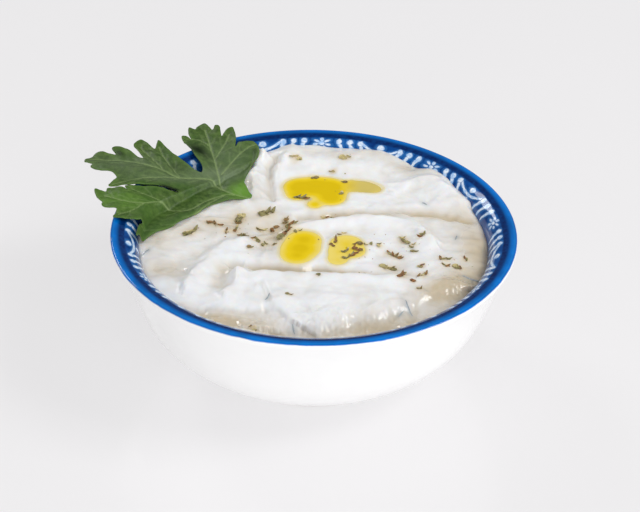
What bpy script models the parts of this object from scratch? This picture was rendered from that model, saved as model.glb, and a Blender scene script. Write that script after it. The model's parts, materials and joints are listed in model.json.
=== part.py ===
"""A glazed bowl of spooned yoghurt dip with oil pools and a parsley leaf, in metres, +Z up.

The origin is the middle of the whole outline, on the surface the bowl stands on. The
leaf reaches past one side of the rim, so the bowl's own axis stands a little to +X.
Helper functions work in millimetres about the bowl's axis, and `metres` converts.
"""

import math

import bmesh
import bpy
import numpy as np
from mathutils import Vector, geometry

MM = 0.001
GAP = 0.3
TINY = 1e-12
FAR = 1e9

# ---------------------------------------------------------------- driving dimensions, mm
BOWL_AXIS_X = 5.5
RIM_RADIUS = 59.6
BOWL_HEIGHT = 45.0
LIP_CROWN = 58.8
LIP_OUTER_DROP = 0.9
OUTER_HANDLE_HIGH = (49.5, 20.5)
OUTER_HANDLE_LOW = (55.0, 31.1)
OUTER_END = (27.5, 40.0)
FOOT_RADIUS = 27.0
FOOT_WIDTH = 2.6
FOOT_RECESS = 3.0
FOOT_FLARE = 0.3
FOOT_SHOULDER = 0.8
FOOT_EDGE = 0.6
INNER_START = (51.2, 6.5)
INNER_HANDLE_HIGH = (50.6, 14.0)
INNER_HANDLE_LOW = (46.0, 29.0)
INNER_END = (26.0, 36.8)
FLOOR_DEPTH = 37.6

TURN_STEPS = 64
INNER_POINTS = 8
OUTER_POINTS = 10
LIP_POINTS = 4
FLARE_POINTS = 7
DIP_RINGS = 20
DIP_SIDE_SHARES = (0.05, 0.1, 0.16, 0.4, 0.7, 1.0)
POOL_STEPS = 26
LEAF_SPACING = 2.6

LEAF_THICKNESS = 0.5
LEAF_FOLD_AT = (-28.5, 31.5)
LEAF_CLEARANCE = 0.7
LEAF_LOW = 41.6
LEAF_OVER_RIM = 46.0
LEAF_RISE_FROM = 34.0
LEAF_RISE_TO = 58.0
LEAF_FOLD_ANGLE = 223.0
LEAF_FOLD_SLOPE = 1.8
LEAF_FOLD_WITHIN = 51.0
LEAF_FOLD_BLEND = 4.0


# ---------------------------------------------------------------- general helpers
def clear_scene():
    for old in list(bpy.data.objects):
        bpy.data.objects.remove(old, do_unlink=True)


def metres(point):
    return tuple(value * MM for value in point)


def material(name, colour, roughness, metallic=0.0):
    made = bpy.data.materials.new(name)
    made.use_nodes = True
    shader = made.node_tree.nodes["Principled BSDF"]
    shader.inputs["Base Color"].default_value = (*colour, 1.0)
    shader.inputs["Roughness"].default_value = roughness
    shader.inputs["Metallic"].default_value = metallic
    return made


def add_object(name, mesh, collection, parent, finish=None):
    made = bpy.data.objects.new(name, mesh)
    collection.objects.link(made)
    made.parent = parent
    if finish:
        mesh.materials.append(finish)
    mesh.shade_smooth()
    return made


def cubic(start, handle_a, handle_b, end, count):
    """Points along a cubic Bezier, both ends included."""
    t = np.linspace(0.0, 1.0, count)[:, None]
    corners = np.array([start, handle_a, handle_b, end], float)
    weights = np.hstack([(1 - t) ** 3, 3 * (1 - t) ** 2 * t, 3 * (1 - t) * t**2, t**3])
    return weights @ corners


def loft(name, rings, start=None, end=None):
    """A closed skin through rings of equal count, with a pole point at either end."""
    build = bmesh.new()
    rows = [[build.verts.new(metres(point)) for point in ring] for ring in rings]
    for upper, lower in zip(rows, rows[1:]):
        for k, corner in enumerate(upper):
            after = (k + 1) % len(upper)
            build.faces.new((corner, lower[k], lower[after], upper[after]))
    for row, pole, flip in ((rows[0], start, False), (rows[-1], end, True)):
        if pole is None:
            continue
        tip = build.verts.new(metres(pole))
        for k, corner in enumerate(row):
            other = row[(k + 1) % len(row)]
            build.faces.new((tip, other, corner) if flip else (tip, corner, other))
    mesh = bpy.data.meshes.new(name)
    build.to_mesh(mesh)
    build.free()
    return mesh


def angles(count):
    return np.arange(count) * 2 * math.pi / count


# ---------------------------------------------------------------- bowl
def wall_outside(count):
    """(radius, depth below the rim) down the outer wall to the foot."""
    return cubic((RIM_RADIUS, LIP_OUTER_DROP), OUTER_HANDLE_HIGH, OUTER_HANDLE_LOW, OUTER_END, count)


def wall_inside(count):
    """(radius, depth below the rim) down the inner wall to the floor."""
    return cubic(INNER_START, INNER_HANDLE_HIGH, INNER_HANDLE_LOW, INNER_END, count)


def lip_quarter(reach, drop, count):
    """(radius, depth) up a quarter ellipse, from its side to the crown of the lip."""
    turn = np.linspace(0.0, math.pi / 2, count)
    return np.column_stack([LIP_CROWN + reach * np.cos(turn), drop - drop * np.sin(turn)])


def lip_inside():
    """The broad flare from the inner wall up to the crown."""
    return lip_quarter(INNER_START[0] - LIP_CROWN, INNER_START[1], FLARE_POINTS)


def lip_outside():
    """The tight round from the outer wall up to the crown."""
    return lip_quarter(RIM_RADIUS - LIP_CROWN, LIP_OUTER_DROP, LIP_POINTS)


WALL_TABLE = np.vstack([lip_inside()[::-1], wall_inside(INNER_POINTS)[1:]])


def inner_radius(height):
    depth = BOWL_HEIGHT - np.asarray(height)
    return np.interp(depth, WALL_TABLE[:, 1], WALL_TABLE[:, 0])


def bowl_profile():
    inside = WALL_TABLE[::-1]
    outside = wall_outside(OUTER_POINTS)
    foot_top = BOWL_HEIGHT - OUTER_END[1]
    recess = FOOT_RADIUS - FOOT_WIDTH
    points = [(0.0, BOWL_HEIGHT - FLOOR_DEPTH)]
    over = lip_outside()[::-1][1:]
    points += [(r, BOWL_HEIGHT - depth) for r, depth in [*inside, *over, *outside[1:]]]
    points += [(FOOT_RADIUS + FOOT_FLARE, foot_top - FOOT_SHOULDER), (FOOT_RADIUS, FOOT_EDGE)]
    points += [(FOOT_RADIUS - FOOT_EDGE, 0.0), (recess + FOOT_FLARE, 0.0)]
    points += [(recess - FOOT_FLARE, FOOT_RECESS), (0.0, FOOT_RECESS)]
    return points


def make_bowl(collection, parent, finish):
    mesh = bpy.data.meshes.new("bowl")
    profile = [metres((radius, 0.0, height)) for radius, height in bowl_profile()]
    mesh.from_pydata(profile, [(k, k + 1) for k in range(len(profile) - 1)], [])
    bowl = add_object("bowl", mesh, collection, parent, finish)
    turn = bowl.modifiers.new("turn", "SCREW")
    turn.steps = TURN_STEPS
    turn.render_steps = TURN_STEPS
    turn.use_merge_vertices = True
    turn.merge_threshold = 0.00001
    turn.use_smooth_shade = True
    return bowl


# ---------------------------------------------------------------- oil pools
# Each pool is a few round drops run together: (x, y, radius) of each drop.
POOLS = {
    "oil_pool_large": {
        "level": 41.0,
        "depth": 2.0,
        "drops": [(-4.4, 30.0, 5.6), (0.2, 30.4, 6.2), (4.2, 29.6, 6.4), (4.8, 24.4, 5.0),
                  (-5.4, 25.8, 3.6), (0.0, 19.9, 2.4), (11.5, 31.4, 3.5), (15.8, 30.9, 3.2),
                  (18.4, 29.8, 2.4)],
    },
    "oil_pool_middle": {
        "level": 39.9,
        "depth": 1.6,
        "drops": [(-2.9, 1.6, 5.3), (-3.8, -3.0, 5.9), (-4.9, -6.7, 4.9)],
    },
    "oil_pool_small": {
        "level": 39.9,
        "depth": 1.1,
        "drops": [(9.6, -0.3, 4.9), (11.4, -4.1, 3.8), (7.6, -4.7, 3.4), (7.0, -8.9, 2.9)],
    },
}
DROP_BLEND = 0.7
SHORE_WIDTH = 2.6
SHORE_LIP = 0.15
POOL_REACH = (0.5, 26.0)
POOL_SAMPLES = 400
POOL_SHARES = (1.0, 0.86, 0.5)
POOL_CROWN = 0.15
POOL_CROWN_SHARE = 0.55
CUTTER_RISE = 8.0
CUTTER_SPARE = 0.1


def pool_distance(pool, x, y):
    """Distance outside the pool's shore line, negative inside it."""
    total = sum(
        np.exp((r - np.hypot(x - cx, y - cy)) / DROP_BLEND) for cx, cy, r in pool["drops"]
    )
    return -DROP_BLEND * np.log(total + TINY)


def pool_centre(pool):
    weights = np.array([r * r for _, _, r in pool["drops"][:3]])
    places = np.array([(cx, cy) for cx, cy, _ in pool["drops"][:3]])
    return (weights[:, None] * places).sum(axis=0) / weights.sum()


def pool_outline(pool, grow, count):
    """Shore line as seen from the pool's centre, moved outwards by grow."""
    centre = pool_centre(pool)
    reach = np.linspace(*POOL_REACH, POOL_SAMPLES)
    outline = []
    for angle in angles(count):
        x = centre[0] + reach * math.cos(angle)
        y = centre[1] + reach * math.sin(angle)
        outside = pool_distance(pool, x, y) > grow
        first = int(np.argmax(outside))
        outline.append((x[first], y[first]))
    return centre, np.array(outline)


def pool_ring(centre, outline, share, height):
    places = centre + (outline - centre) * share
    return [(x, y, height) for x, y in places]


def make_pool(name, pool, collection, parent, finish):
    centre, outline = pool_outline(pool, 0.0, POOL_STEPS)
    level, depth = pool["level"], pool["depth"]
    rings = [pool_ring(centre, outline, POOL_CROWN_SHARE, level + POOL_CROWN)]
    for share in POOL_SHARES:
        drop = depth * (1 - share**4)
        rings.append(pool_ring(centre, outline, share, level - drop))
    mesh = loft(name, rings, (*centre, level + POOL_CROWN), (*centre, level - depth))
    return add_object(name, mesh, collection, parent, finish)


def make_pool_cutter(name, pool, collection, parent):
    """The same pool, larger all round by the gap and open above."""
    centre, outline = pool_outline(pool, GAP, POOL_STEPS)
    level, depth = pool["level"], pool["depth"]
    above = level + CUTTER_RISE
    below = GAP + CUTTER_SPARE
    rings = [pool_ring(centre, outline, 1.0, above)]
    for share in POOL_SHARES:
        drop = depth * (1 - share**4) + below
        rings.append(pool_ring(centre, outline, share, level - drop))
    mesh = loft(name, rings, (*centre, above), (*centre, level - depth - below))
    cutter = add_object(name, mesh, collection, parent)
    cutter.hide_render = True
    cutter.display_type = "WIRE"
    return cutter


# ---------------------------------------------------------------- dip surface
BASE_LEVEL = 39.7
BACK_TILT = 0.03

# Round heaps and hollows: (x, y, half-length, half-width, turn in degrees, height).
HEAPS = [
    (8.0, 46.3, 28.0, 11.0, 0.0, 2.6),
    (37.0, 32.3, 11.0, 8.0, -40.0, 2.8),
    (-7.5, 48.3, 4.0, 3.6, 0.0, 1.6),
    (-16.8, 44.8, 2.0, 2.6, 0.0, 2.2),
    (-24.0, 23.3, 12.0, 8.0, 20.0, 0.8),
    (28.0, 41.3, 6.0, 4.0, -20.0, -0.9),
    (4.0, -2.7, 18.0, 12.0, 0.0, -0.9),
    (5.0, -26.7, 34.0, 11.0, 0.0, 1.6),
    (-26.5, -16.7, 3.0, 6.5, -14.0, -2.0),
    (-43.0, -15.7, 6.0, 8.0, 0.0, -1.0),
    (-45.0, -8.2, 4.5, 4.0, 0.0, 1.0),
    (53.0, -0.7, 9.0, 20.0, 0.0, -0.6),
    (45.0, -17.7, 5.0, 3.0, -25.0, -1.3),
    (38.0, -2.7, 9.0, 9.0, 0.0, 0.9),
    (-52.0, 2.0, 8.0, 8.0, 0.0, 1.2),
    (-30.0, -44.0, 20.0, 5.0, -30.0, 2.0),
]

# Long ridges and grooves left by the spoon: path, width to its left, width to its right
# (looking along the path), height.
STROKES = [
    ([(-18.0, 44.3), (-18.6, 35.3), (-17.0, 25.3)], 2.6, 2.4, 1.3),
    ([(-13.6, 45.3), (-14.0, 35.3), (-13.0, 24.3)], 2.4, 2.4, -1.4),
    ([(-9.8, 44.3), (-10.0, 35.3), (-11.2, 25.3)], 2.4, 2.4, 1.0),
    ([(22.0, 30.3), (32.0, 31.8), (40.0, 28.3), (45.0, 21.3)], 3.0, 3.6, 1.6),
    ([(-4.0, 15.3), (8.0, 16.8), (22.0, 18.8), (36.0, 17.8), (46.0, 13.3)], 3.2, 3.2, -1.2),
    ([(-6.0, 7.8), (4.0, 11.1), (13.0, 13.5), (22.0, 13.3), (30.0, 9.3), (35.0, 1.3)], 2.6, 3.4, 1.6),
    ([(-23.0, -11.7), (-10.0, -13.3), (2.0, -13.7), (13.0, -15.2)], 3.0, 3.0, -1.1),
    ([(-22.0, -17.3), (-10.0, -17.9), (0.0, -18.3), (11.0, -19.3), (22.0, -18.7)], 3.0, 4.0, 1.1),
    ([(-22.0, 0.3), (-28.0, -5.7), (-33.0, -13.7), (-35.0, -22.7)], 4.2, 3.0, 1.4),
    ([(-21.0, -12.7), (-21.6, -19.7), (-24.0, -26.7)], 2.6, 2.4, 0.9),
]

# Ledges: the surface drops to the right of each path by this much, over this width.
LEDGES = [
    ([(-40.0, -31.7), (-30.0, -33.5), (-12.0, -33.7), (-6.0, -37.7)], 2.0, 1.3),
    ([(-8.0, -41.2), (5.0, -40.2), (15.0, -36.7), (25.0, -32.7), (33.0, -25.7), (42.0, -21.7)],
     2.4, 2.0),
]
LEDGE_REACH = 9.0
EDGE_GUESS = 8.0
EDGE_ROUNDS = 16


def smooth_path(points, steps=8):
    """A Catmull-Rom curve through the points."""
    ends = [2 * np.array(points[0]) - points[1], *map(np.array, points)]
    ends.append(2 * np.array(points[-1]) - points[-2])
    t = np.linspace(0.0, 1.0, steps, endpoint=False)[:, None]
    pieces = []
    for a, b, c, d in zip(ends, ends[1:], ends[2:], ends[3:]):
        pieces.append(
            0.5 * (2 * b + (c - a) * t + (2 * a - 5 * b + 4 * c - d) * t**2
                   + (3 * b - a - 3 * c + d) * t**3)
        )
    return np.vstack([*pieces, ends[-2][None]])


def path_distance(points, x, y):
    """(distance, side) from the nearest place on a path; side is +1 to its left."""
    route = smooth_path(points)
    nearest = np.full(np.shape(x), FAR)
    side = np.zeros(np.shape(x))
    for start, end in zip(route, route[1:]):
        run = end - start
        share = ((x - start[0]) * run[0] + (y - start[1]) * run[1]) / (run @ run)
        share = np.clip(share, 0.0, 1.0)
        gap_x = x - start[0] - share * run[0]
        gap_y = y - start[1] - share * run[1]
        distance = np.hypot(gap_x, gap_y)
        closer = distance < nearest
        nearest = np.where(closer, distance, nearest)
        side = np.where(closer, np.sign(run[0] * gap_y - run[1] * gap_x), side)
    return nearest, side


def dip_height(x, y):
    """Height of the dip's surface above the table, in mm."""
    x, y = np.asarray(x, float), np.asarray(y, float)
    height = BASE_LEVEL + BACK_TILT * y
    for cx, cy, long_way, short_way, turn, rise in HEAPS:
        along = math.radians(turn)
        u = (x - cx) * math.cos(along) + (y - cy) * math.sin(along)
        v = (y - cy) * math.cos(along) - (x - cx) * math.sin(along)
        height = height + rise * np.exp(-((u / long_way) ** 2) - (v / short_way) ** 2)
    for path, left, right, rise in STROKES:
        distance, side = path_distance(path, x, y)
        width = np.where(side > 0, left, right)
        height = height + rise * np.exp(-((distance / width) ** 2))
    for path, width, drop in LEDGES:
        distance, side = path_distance(path, x, y)
        fall = 0.5 - 0.5 * np.tanh(side * distance / width)
        height = height - drop * fall * np.exp(-((distance / LEDGE_REACH) ** 4))
    for pool in POOLS.values():
        distance = np.maximum(pool_distance(pool, x, y), 0.0)
        shore = np.exp(-((distance / SHORE_WIDTH) ** 2))
        height = height * (1 - shore) + (pool["level"] + SHORE_LIP) * shore
    return height


def dip_edge(turns):
    """(radius, height) where the dip meets the wall at each turn, with the gap."""
    radius = np.full(len(turns), RIM_RADIUS - EDGE_GUESS)
    for _ in range(EDGE_ROUNDS):
        height = dip_height(radius * np.cos(turns), radius * np.sin(turns))
        radius = 0.5 * radius + 0.5 * (inner_radius(height) - GAP)
    return radius, height


def make_dip(collection, parent, finish):
    turns = angles(TURN_STEPS)
    reach, top = dip_edge(turns)
    rings = []
    for share in np.linspace(0.0, 1.0, DIP_RINGS + 1)[1:]:
        x, y = reach * share * np.cos(turns), reach * share * np.sin(turns)
        rings.append(list(zip(x, y, dip_height(x, y))))
    floor = BOWL_HEIGHT - INNER_END[1] + GAP
    for share in DIP_SIDE_SHARES:
        height = top + (floor - top) * share
        radius = inner_radius(height) - GAP
        rings.append(list(zip(radius * np.cos(turns), radius * np.sin(turns), height)))
    centre = (0.0, 0.0, float(dip_height(0.0, 0.0)))
    mesh = loft("tzatziki", rings, centre, (0.0, 0.0, floor))
    return add_object("tzatziki", mesh, collection, parent, finish)


def cut(body, cutter):
    modifier = body.modifiers.new("cut_" + cutter.name, "BOOLEAN")
    modifier.operation = "DIFFERENCE"
    modifier.solver = "EXACT"
    modifier.object = cutter


# ---------------------------------------------------------------- parsley leaf
# The blade's edge, clockwise seen from above: the cut stalk, the folded lower edge,
# then each lobe's teeth and the notches between them.
LEAF_EDGE = {
    "stalk and fold": [
        (-20.0, 24.5), (-19.0, 22.5), (-21.5, 21.0), (-25.0, 20.5), (-29.0, 19.0), (-33.5, 16.0),
        (-37.0, 12.0), (-39.5, 9.5), (-42.0, 6.5), (-44.5, 4.0), (-46.5, 2.0), (-49.5, -1.5),
        (-51.5, -6.0), (-51.5, -1.0), (-50.5, 3.0)],
    "near lobe": [
        (-52.5, 2.5), (-55.5, 2.5), (-59.0, 3.0), (-58.5, 5.0), (-58.5, 7.0), (-60.5, 7.5),
        (-63.0, 9.5), (-63.0, 11.0), (-64.5, 13.0), (-66.0, 17.5), (-64.0, 17.5), (-62.5, 17.0),
        (-62.0, 19.0), (-58.0, 19.0), (-56.0, 17.5), (-57.0, 20.0), (-54.0, 20.5), (-50.5, 21.0),
        (-46.5, 21.0), (-43.0, 20.5), (-41.0, 20.5)],
    "left lobe": [
        (-42.5, 21.5), (-46.0, 22.0), (-50.0, 22.0), (-54.0, 21.5), (-58.0, 21.0), (-62.0, 20.5),
        (-61.0, 23.0), (-60.0, 25.0), (-61.5, 27.5), (-64.0, 28.5), (-66.5, 29.5), (-68.5, 31.0),
        (-68.0, 32.5), (-70.5, 33.5), (-70.5, 36.0), (-69.0, 37.0), (-67.5, 39.0), (-65.5, 40.0),
        (-64.0, 39.5), (-61.5, 39.0), (-63.0, 42.0), (-62.0, 43.5), (-60.0, 43.0), (-58.0, 41.5),
        (-56.0, 39.5), (-54.5, 38.0), (-53.0, 37.5), (-54.0, 40.0), (-55.5, 42.5), (-56.5, 44.5),
        (-56.0, 46.5), (-54.5, 48.0), (-52.5, 46.5), (-50.0, 43.0), (-49.5, 45.5), (-49.0, 47.5),
        (-47.5, 46.0), (-45.5, 42.5), (-44.0, 40.0), (-42.0, 38.0), (-39.5, 35.5), (-37.0, 33.0),
        (-35.0, 32.0)],
    "far lobe": [
        (-34.5, 33.5), (-35.0, 36.0), (-37.0, 39.5), (-38.5, 43.0), (-40.0, 45.5), (-41.5, 48.5),
        (-42.0, 51.0), (-40.5, 51.0), (-39.0, 49.5), (-40.0, 52.5), (-40.0, 56.0), (-38.0, 55.0),
        (-37.5, 57.5), (-35.5, 59.0), (-34.0, 57.5), (-32.5, 55.5), (-32.0, 58.0), (-30.5, 57.5),
        (-30.0, 54.5), (-29.5, 52.0), (-28.5, 55.0), (-26.5, 56.5), (-25.5, 54.0), (-25.0, 50.5),
        (-25.0, 46.5), (-24.0, 49.0), (-22.0, 49.5), (-19.5, 50.0), (-18.0, 48.0), (-17.5, 43.5),
        (-18.0, 40.5), (-19.5, 38.0), (-21.0, 34.0), (-21.5, 31.5), (-21.5, 29.5)],
}
LEAF_OUTLINE = [place for lobe in LEAF_EDGE.values() for place in lobe]
LEAF_MARGIN = 0.9


def leaf_height(x, y):
    """The blade rises to the rim, then runs on level; its lower edge is folded down."""
    out = np.hypot(x, y)
    rise = np.clip((out - LEAF_RISE_FROM) / (LEAF_RISE_TO - LEAF_RISE_FROM), 0.0, 1.0)
    height = LEAF_LOW + (LEAF_OVER_RIM - LEAF_LOW) * rise
    fold = math.radians(LEAF_FOLD_ANGLE)
    below = (y - LEAF_FOLD_AT[1]) * math.cos(fold) - (x - LEAF_FOLD_AT[0]) * math.sin(fold)
    inside = np.clip((LEAF_FOLD_WITHIN - out) / LEAF_FOLD_BLEND, 0.0, 1.0)
    height = height - LEAF_FOLD_SLOPE * np.maximum(below, 0.0) * inside
    return np.maximum(height, dip_height(x, y) + LEAF_CLEARANCE)


def within(outline, x, y, margin):
    """True where a place lies inside the outline, and further from it than the margin."""
    inside = np.zeros(np.shape(x), bool)
    clear = np.ones(np.shape(x), bool)
    for start, end in zip(outline, np.roll(outline, -1, axis=0)):
        run = end - start
        crosses = (start[1] > y) != (end[1] > y)
        rise = run[1] if run[1] else 1.0
        inside ^= crosses & (x < start[0] + (y - start[1]) / rise * run[0])
        share = np.clip(((x - start[0]) * run[0] + (y - start[1]) * run[1]) / (run @ run), 0.0, 1.0)
        clear &= np.hypot(x - start[0] - share * run[0], y - start[1] - share * run[1]) > margin
    return inside & clear


def blade_triangles(outline, spacing, margin):
    """Even triangles over the blade: (places, corners)."""
    low, high = outline.min(axis=0), outline.max(axis=0)
    x, y = np.meshgrid(np.arange(low[0], high[0], spacing), np.arange(low[1], high[1], spacing))
    keep = within(outline, x, y, margin)
    places = [Vector(place) for place in [*outline, *zip(x[keep], y[keep])]]
    edge = list(range(len(outline)))
    found = geometry.delaunay_2d_cdt(places, [], [edge], 1, MM)
    return np.array([tuple(place) for place in found[0]]), [list(face) for face in found[2]]


def make_leaf(collection, parent, finish):
    outline = np.array(LEAF_OUTLINE)
    places, corners = blade_triangles(outline, LEAF_SPACING, LEAF_MARGIN)
    height = leaf_height(places[:, 0], places[:, 1])
    build = bmesh.new()
    half = LEAF_THICKNESS / 2
    rows = [[build.verts.new(metres(place)) for place in zip(*places.T, height + side)]
            for side in (half, -half)]
    walls = {}
    for a, b, c in corners:
        build.faces.new((rows[0][a], rows[0][b], rows[0][c]))
        build.faces.new((rows[1][c], rows[1][b], rows[1][a]))
        for start, end in ((a, b), (b, c), (c, a)):
            if (end, start) in walls:
                del walls[end, start]
            else:
                walls[start, end] = True
    for start, end in walls:
        build.faces.new((rows[0][end], rows[0][start], rows[1][start], rows[1][end]))
    bmesh.ops.recalc_face_normals(build, faces=build.faces)
    mesh = bpy.data.meshes.new("parsley_leaf")
    build.to_mesh(mesh)
    build.free()
    return add_object("parsley_leaf", mesh, collection, parent, finish)


# ---------------------------------------------------------------- assembly
def main():
    clear_scene()
    parts = bpy.data.collections.new("tzatziki_dip")
    cutters = bpy.data.collections.new("cutters")
    for collection in (parts, cutters):
        bpy.context.scene.collection.children.link(collection)
    axis = bpy.data.objects.new("bowl_axis", None)
    axis.location = metres((BOWL_AXIS_X, 0.0, 0.0))
    parts.objects.link(axis)

    glaze = material("blue_white_glaze", (0.86, 0.87, 0.88), 0.08)
    cream = material("thick_cream", (0.83, 0.82, 0.78), 0.35)
    oil = material("olive_oil", (0.72, 0.52, 0.02), 0.05)
    green = material("leaf_green", (0.07, 0.13, 0.03), 0.55)

    make_bowl(parts, axis, glaze)
    dip = make_dip(parts, axis, cream)
    for name, pool in POOLS.items():
        make_pool(name, pool, parts, axis, oil)
        cut(dip, make_pool_cutter("hollow_" + name, pool, cutters, axis))
    make_leaf(parts, axis, green)


main()
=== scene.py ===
# %% [markdown]
# # A bowl of yoghurt and cucumber dip
# The object is a small glazed bowl, heaped with thick yoghurt dip that a spoon has left
# in ridges and hollows. Oil lies in three of the hollows, dried herb is strewn over it,
# and one flat parsley leaf rests on the dip and hangs over the rim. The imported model
# fixes every size. This lesson gives each of its solids a finished skin.

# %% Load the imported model
import json
import math

import bmesh
import bpy
import numpy as np
from mathutils import Matrix, Vector, geometry, noise

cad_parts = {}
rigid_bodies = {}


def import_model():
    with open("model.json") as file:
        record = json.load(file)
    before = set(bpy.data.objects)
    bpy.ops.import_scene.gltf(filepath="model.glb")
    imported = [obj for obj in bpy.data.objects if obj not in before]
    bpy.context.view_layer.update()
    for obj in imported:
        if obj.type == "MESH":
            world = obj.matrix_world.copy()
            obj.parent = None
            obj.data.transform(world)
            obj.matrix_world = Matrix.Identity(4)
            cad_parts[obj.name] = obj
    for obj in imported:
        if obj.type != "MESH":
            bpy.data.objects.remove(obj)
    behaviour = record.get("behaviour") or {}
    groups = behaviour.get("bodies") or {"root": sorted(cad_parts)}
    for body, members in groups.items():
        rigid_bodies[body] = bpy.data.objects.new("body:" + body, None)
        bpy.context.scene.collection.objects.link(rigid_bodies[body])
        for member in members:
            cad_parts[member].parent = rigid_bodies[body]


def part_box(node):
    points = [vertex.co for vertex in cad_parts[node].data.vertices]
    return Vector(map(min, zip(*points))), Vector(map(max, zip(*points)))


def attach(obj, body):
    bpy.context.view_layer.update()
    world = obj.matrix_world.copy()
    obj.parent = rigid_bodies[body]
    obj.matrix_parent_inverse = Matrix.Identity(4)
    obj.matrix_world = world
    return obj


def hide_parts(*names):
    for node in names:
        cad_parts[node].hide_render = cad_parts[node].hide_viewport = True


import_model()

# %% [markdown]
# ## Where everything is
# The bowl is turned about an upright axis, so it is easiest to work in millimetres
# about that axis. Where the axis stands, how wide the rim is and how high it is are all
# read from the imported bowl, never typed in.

MM = 0.001
FAR, TINY = 1e9, 1e-12
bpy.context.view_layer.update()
bowl_low, bowl_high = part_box("bowl")
AXIS = ((bowl_low.x + bowl_high.x) / 2, (bowl_low.y + bowl_high.y) / 2, 0.0)
RIM_RADIUS = (bowl_high.x - bowl_low.x) / 2 / MM
BOWL_HEIGHT = bowl_high.z / MM
print("axis x", round(AXIS[0] / MM, 2), "rim", round(RIM_RADIUS, 2), "height", round(BOWL_HEIGHT, 2))


def to_row(places):
    """Millimetres about the bowl's axis, as metres in the shared frame."""
    return np.asarray(places, float) * MM + AXIS


# %% [markdown]
# ## A helper for meshes
# Every piece below is a list of places and faces worked out in numbers. One helper turns
# them into a mesh, stores the masks that its material reads, and turns the faces
# outwards, which matters as soon as a surface is closed.

# %% Mesh helper
def add_mesh(name, places, faces, finish, masks=None):
    mesh = bpy.data.meshes.new(name)
    mesh.from_pydata(to_row(places).tolist(), [], faces)
    for mask, values in (masks or {}).items():
        layer = mesh.attributes.new(mask, "FLOAT", "POINT")
        layer.data.foreach_set("value", np.asarray(values, np.float32).ravel())
    build = bmesh.new()
    build.from_mesh(mesh)
    bmesh.ops.recalc_face_normals(build, faces=build.faces)
    build.to_mesh(mesh)
    build.free()
    mesh.materials.append(finish)
    mesh.shade_smooth()
    made = bpy.data.objects.new(name, mesh)
    bpy.context.scene.collection.objects.link(made)
    print(name, len(mesh.vertices), "points")
    return made


def ring_faces(first, second, count):
    """Faces between two rings of points, given the number of each ring's first point."""
    return [(first + k, second + k, second + (k + 1) % count, first + (k + 1) % count)
            for k in range(count)]


def cap_faces(tip, first, count):
    return [(tip, first + k, first + (k + 1) % count) for k in range(count)]


# %% [markdown]
# ## A helper for finishes
# A painted pattern or a stain is arithmetic on a place: how far from a stroke, how deep
# in a hollow. Blender spells each sum as a node, and long sums grow unreadable. So a
# small class lets the script write them as sums, and it lays one node for each.

# %% Node arithmetic
def feed(tree, socket, value):
    if isinstance(value, Field):
        tree.links.new(value.socket, socket)
    else:
        socket.default_value = value


class Field:
    """A value that changes over a surface, carried by one socket of a node tree."""

    def __init__(self, tree, socket):
        self.tree, self.socket = tree, socket

    def sum(self, operation, *others):
        node = self.tree.nodes.new("ShaderNodeMath")
        node.operation = operation
        for socket, value in zip(node.inputs, (self, *others)):
            feed(self.tree, socket, value)
        return Field(self.tree, node.outputs["Value"])

    def __add__(self, other):
        return self.sum("ADD", other)

    def __sub__(self, other):
        return self.sum("SUBTRACT", other)

    def __mul__(self, other):
        return self.sum("MULTIPLY", other)

    def __truediv__(self, other):
        return self.sum("DIVIDE", other)

    def step(self, low, high):
        """0 below low and 1 above high, with a soft step between. low may be the larger."""
        node = self.tree.nodes.new("ShaderNodeMapRange")
        node.interpolation_type = "SMOOTHSTEP"
        feed(self.tree, node.inputs["Value"], self)
        node.inputs["From Min"].default_value = min(low, high)
        node.inputs["From Max"].default_value = max(low, high)
        node.inputs["To Min"].default_value = 0.0 if low < high else 1.0
        node.inputs["To Max"].default_value = 1.0 if low < high else 0.0
        return Field(self.tree, node.outputs["Result"])


def far(a, b):
    """The length of the step (a, b)."""
    return (a * a + b * b).sum("SQRT")


def attribute(tree, name):
    node = tree.nodes.new("ShaderNodeAttribute")
    node.attribute_name = name
    return Field(tree, node.outputs["Fac"])


def place(tree):
    """The place on the piece about the bowl's axis, in mm, as three fields."""
    origin = tree.nodes.new("ShaderNodeTexCoord")
    split = tree.nodes.new("ShaderNodeSeparateXYZ")
    tree.links.new(origin.outputs["Object"], split.inputs[0])
    axes = [Field(tree, split.outputs[k]) for k in range(3)]
    return [(axis - start) / MM for axis, start in zip(axes, AXIS)]


def blend(tree, share, first, second):
    """The first colour where share is 0 and the second where it is 1."""
    node = tree.nodes.new("ShaderNodeMix")
    node.data_type = "RGBA"
    feed(tree, node.inputs["Factor"], share)
    for socket, colour in ((node.inputs[6], first), (node.inputs[7], second)):
        if isinstance(colour, Field):
            tree.links.new(colour.socket, socket)
        else:
            socket.default_value = (*colour, 1.0)
    return Field(tree, node.outputs[2])


def stained(tree, colour, stains):
    """The colour under several stains: (the mask's name, how strong it is, its colour)."""
    for mask, strength, stain in stains:
        colour = blend(tree, attribute(tree, mask) * strength, colour, stain)
    return colour


def paint(red, green, blue):
    """A colour as a paint chart gives it, 0 to 255, in the linear light that a shader takes."""
    return tuple(((c / 255 + 0.055) / 1.055) ** 2.4 if c > 10 else c / 255 / 12.92
                 for c in (red, green, blue))


# %% [markdown]
# ## Two effects that several finishes share
# Real glaze, yoghurt and leaf are never one even colour, and never quite flat. Mottle is
# a soft blotchy mask, and grain is a fine height that a Bump node reads. Each is one
# node group with a named size, so every finish below uses the same group at its own scale.

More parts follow.
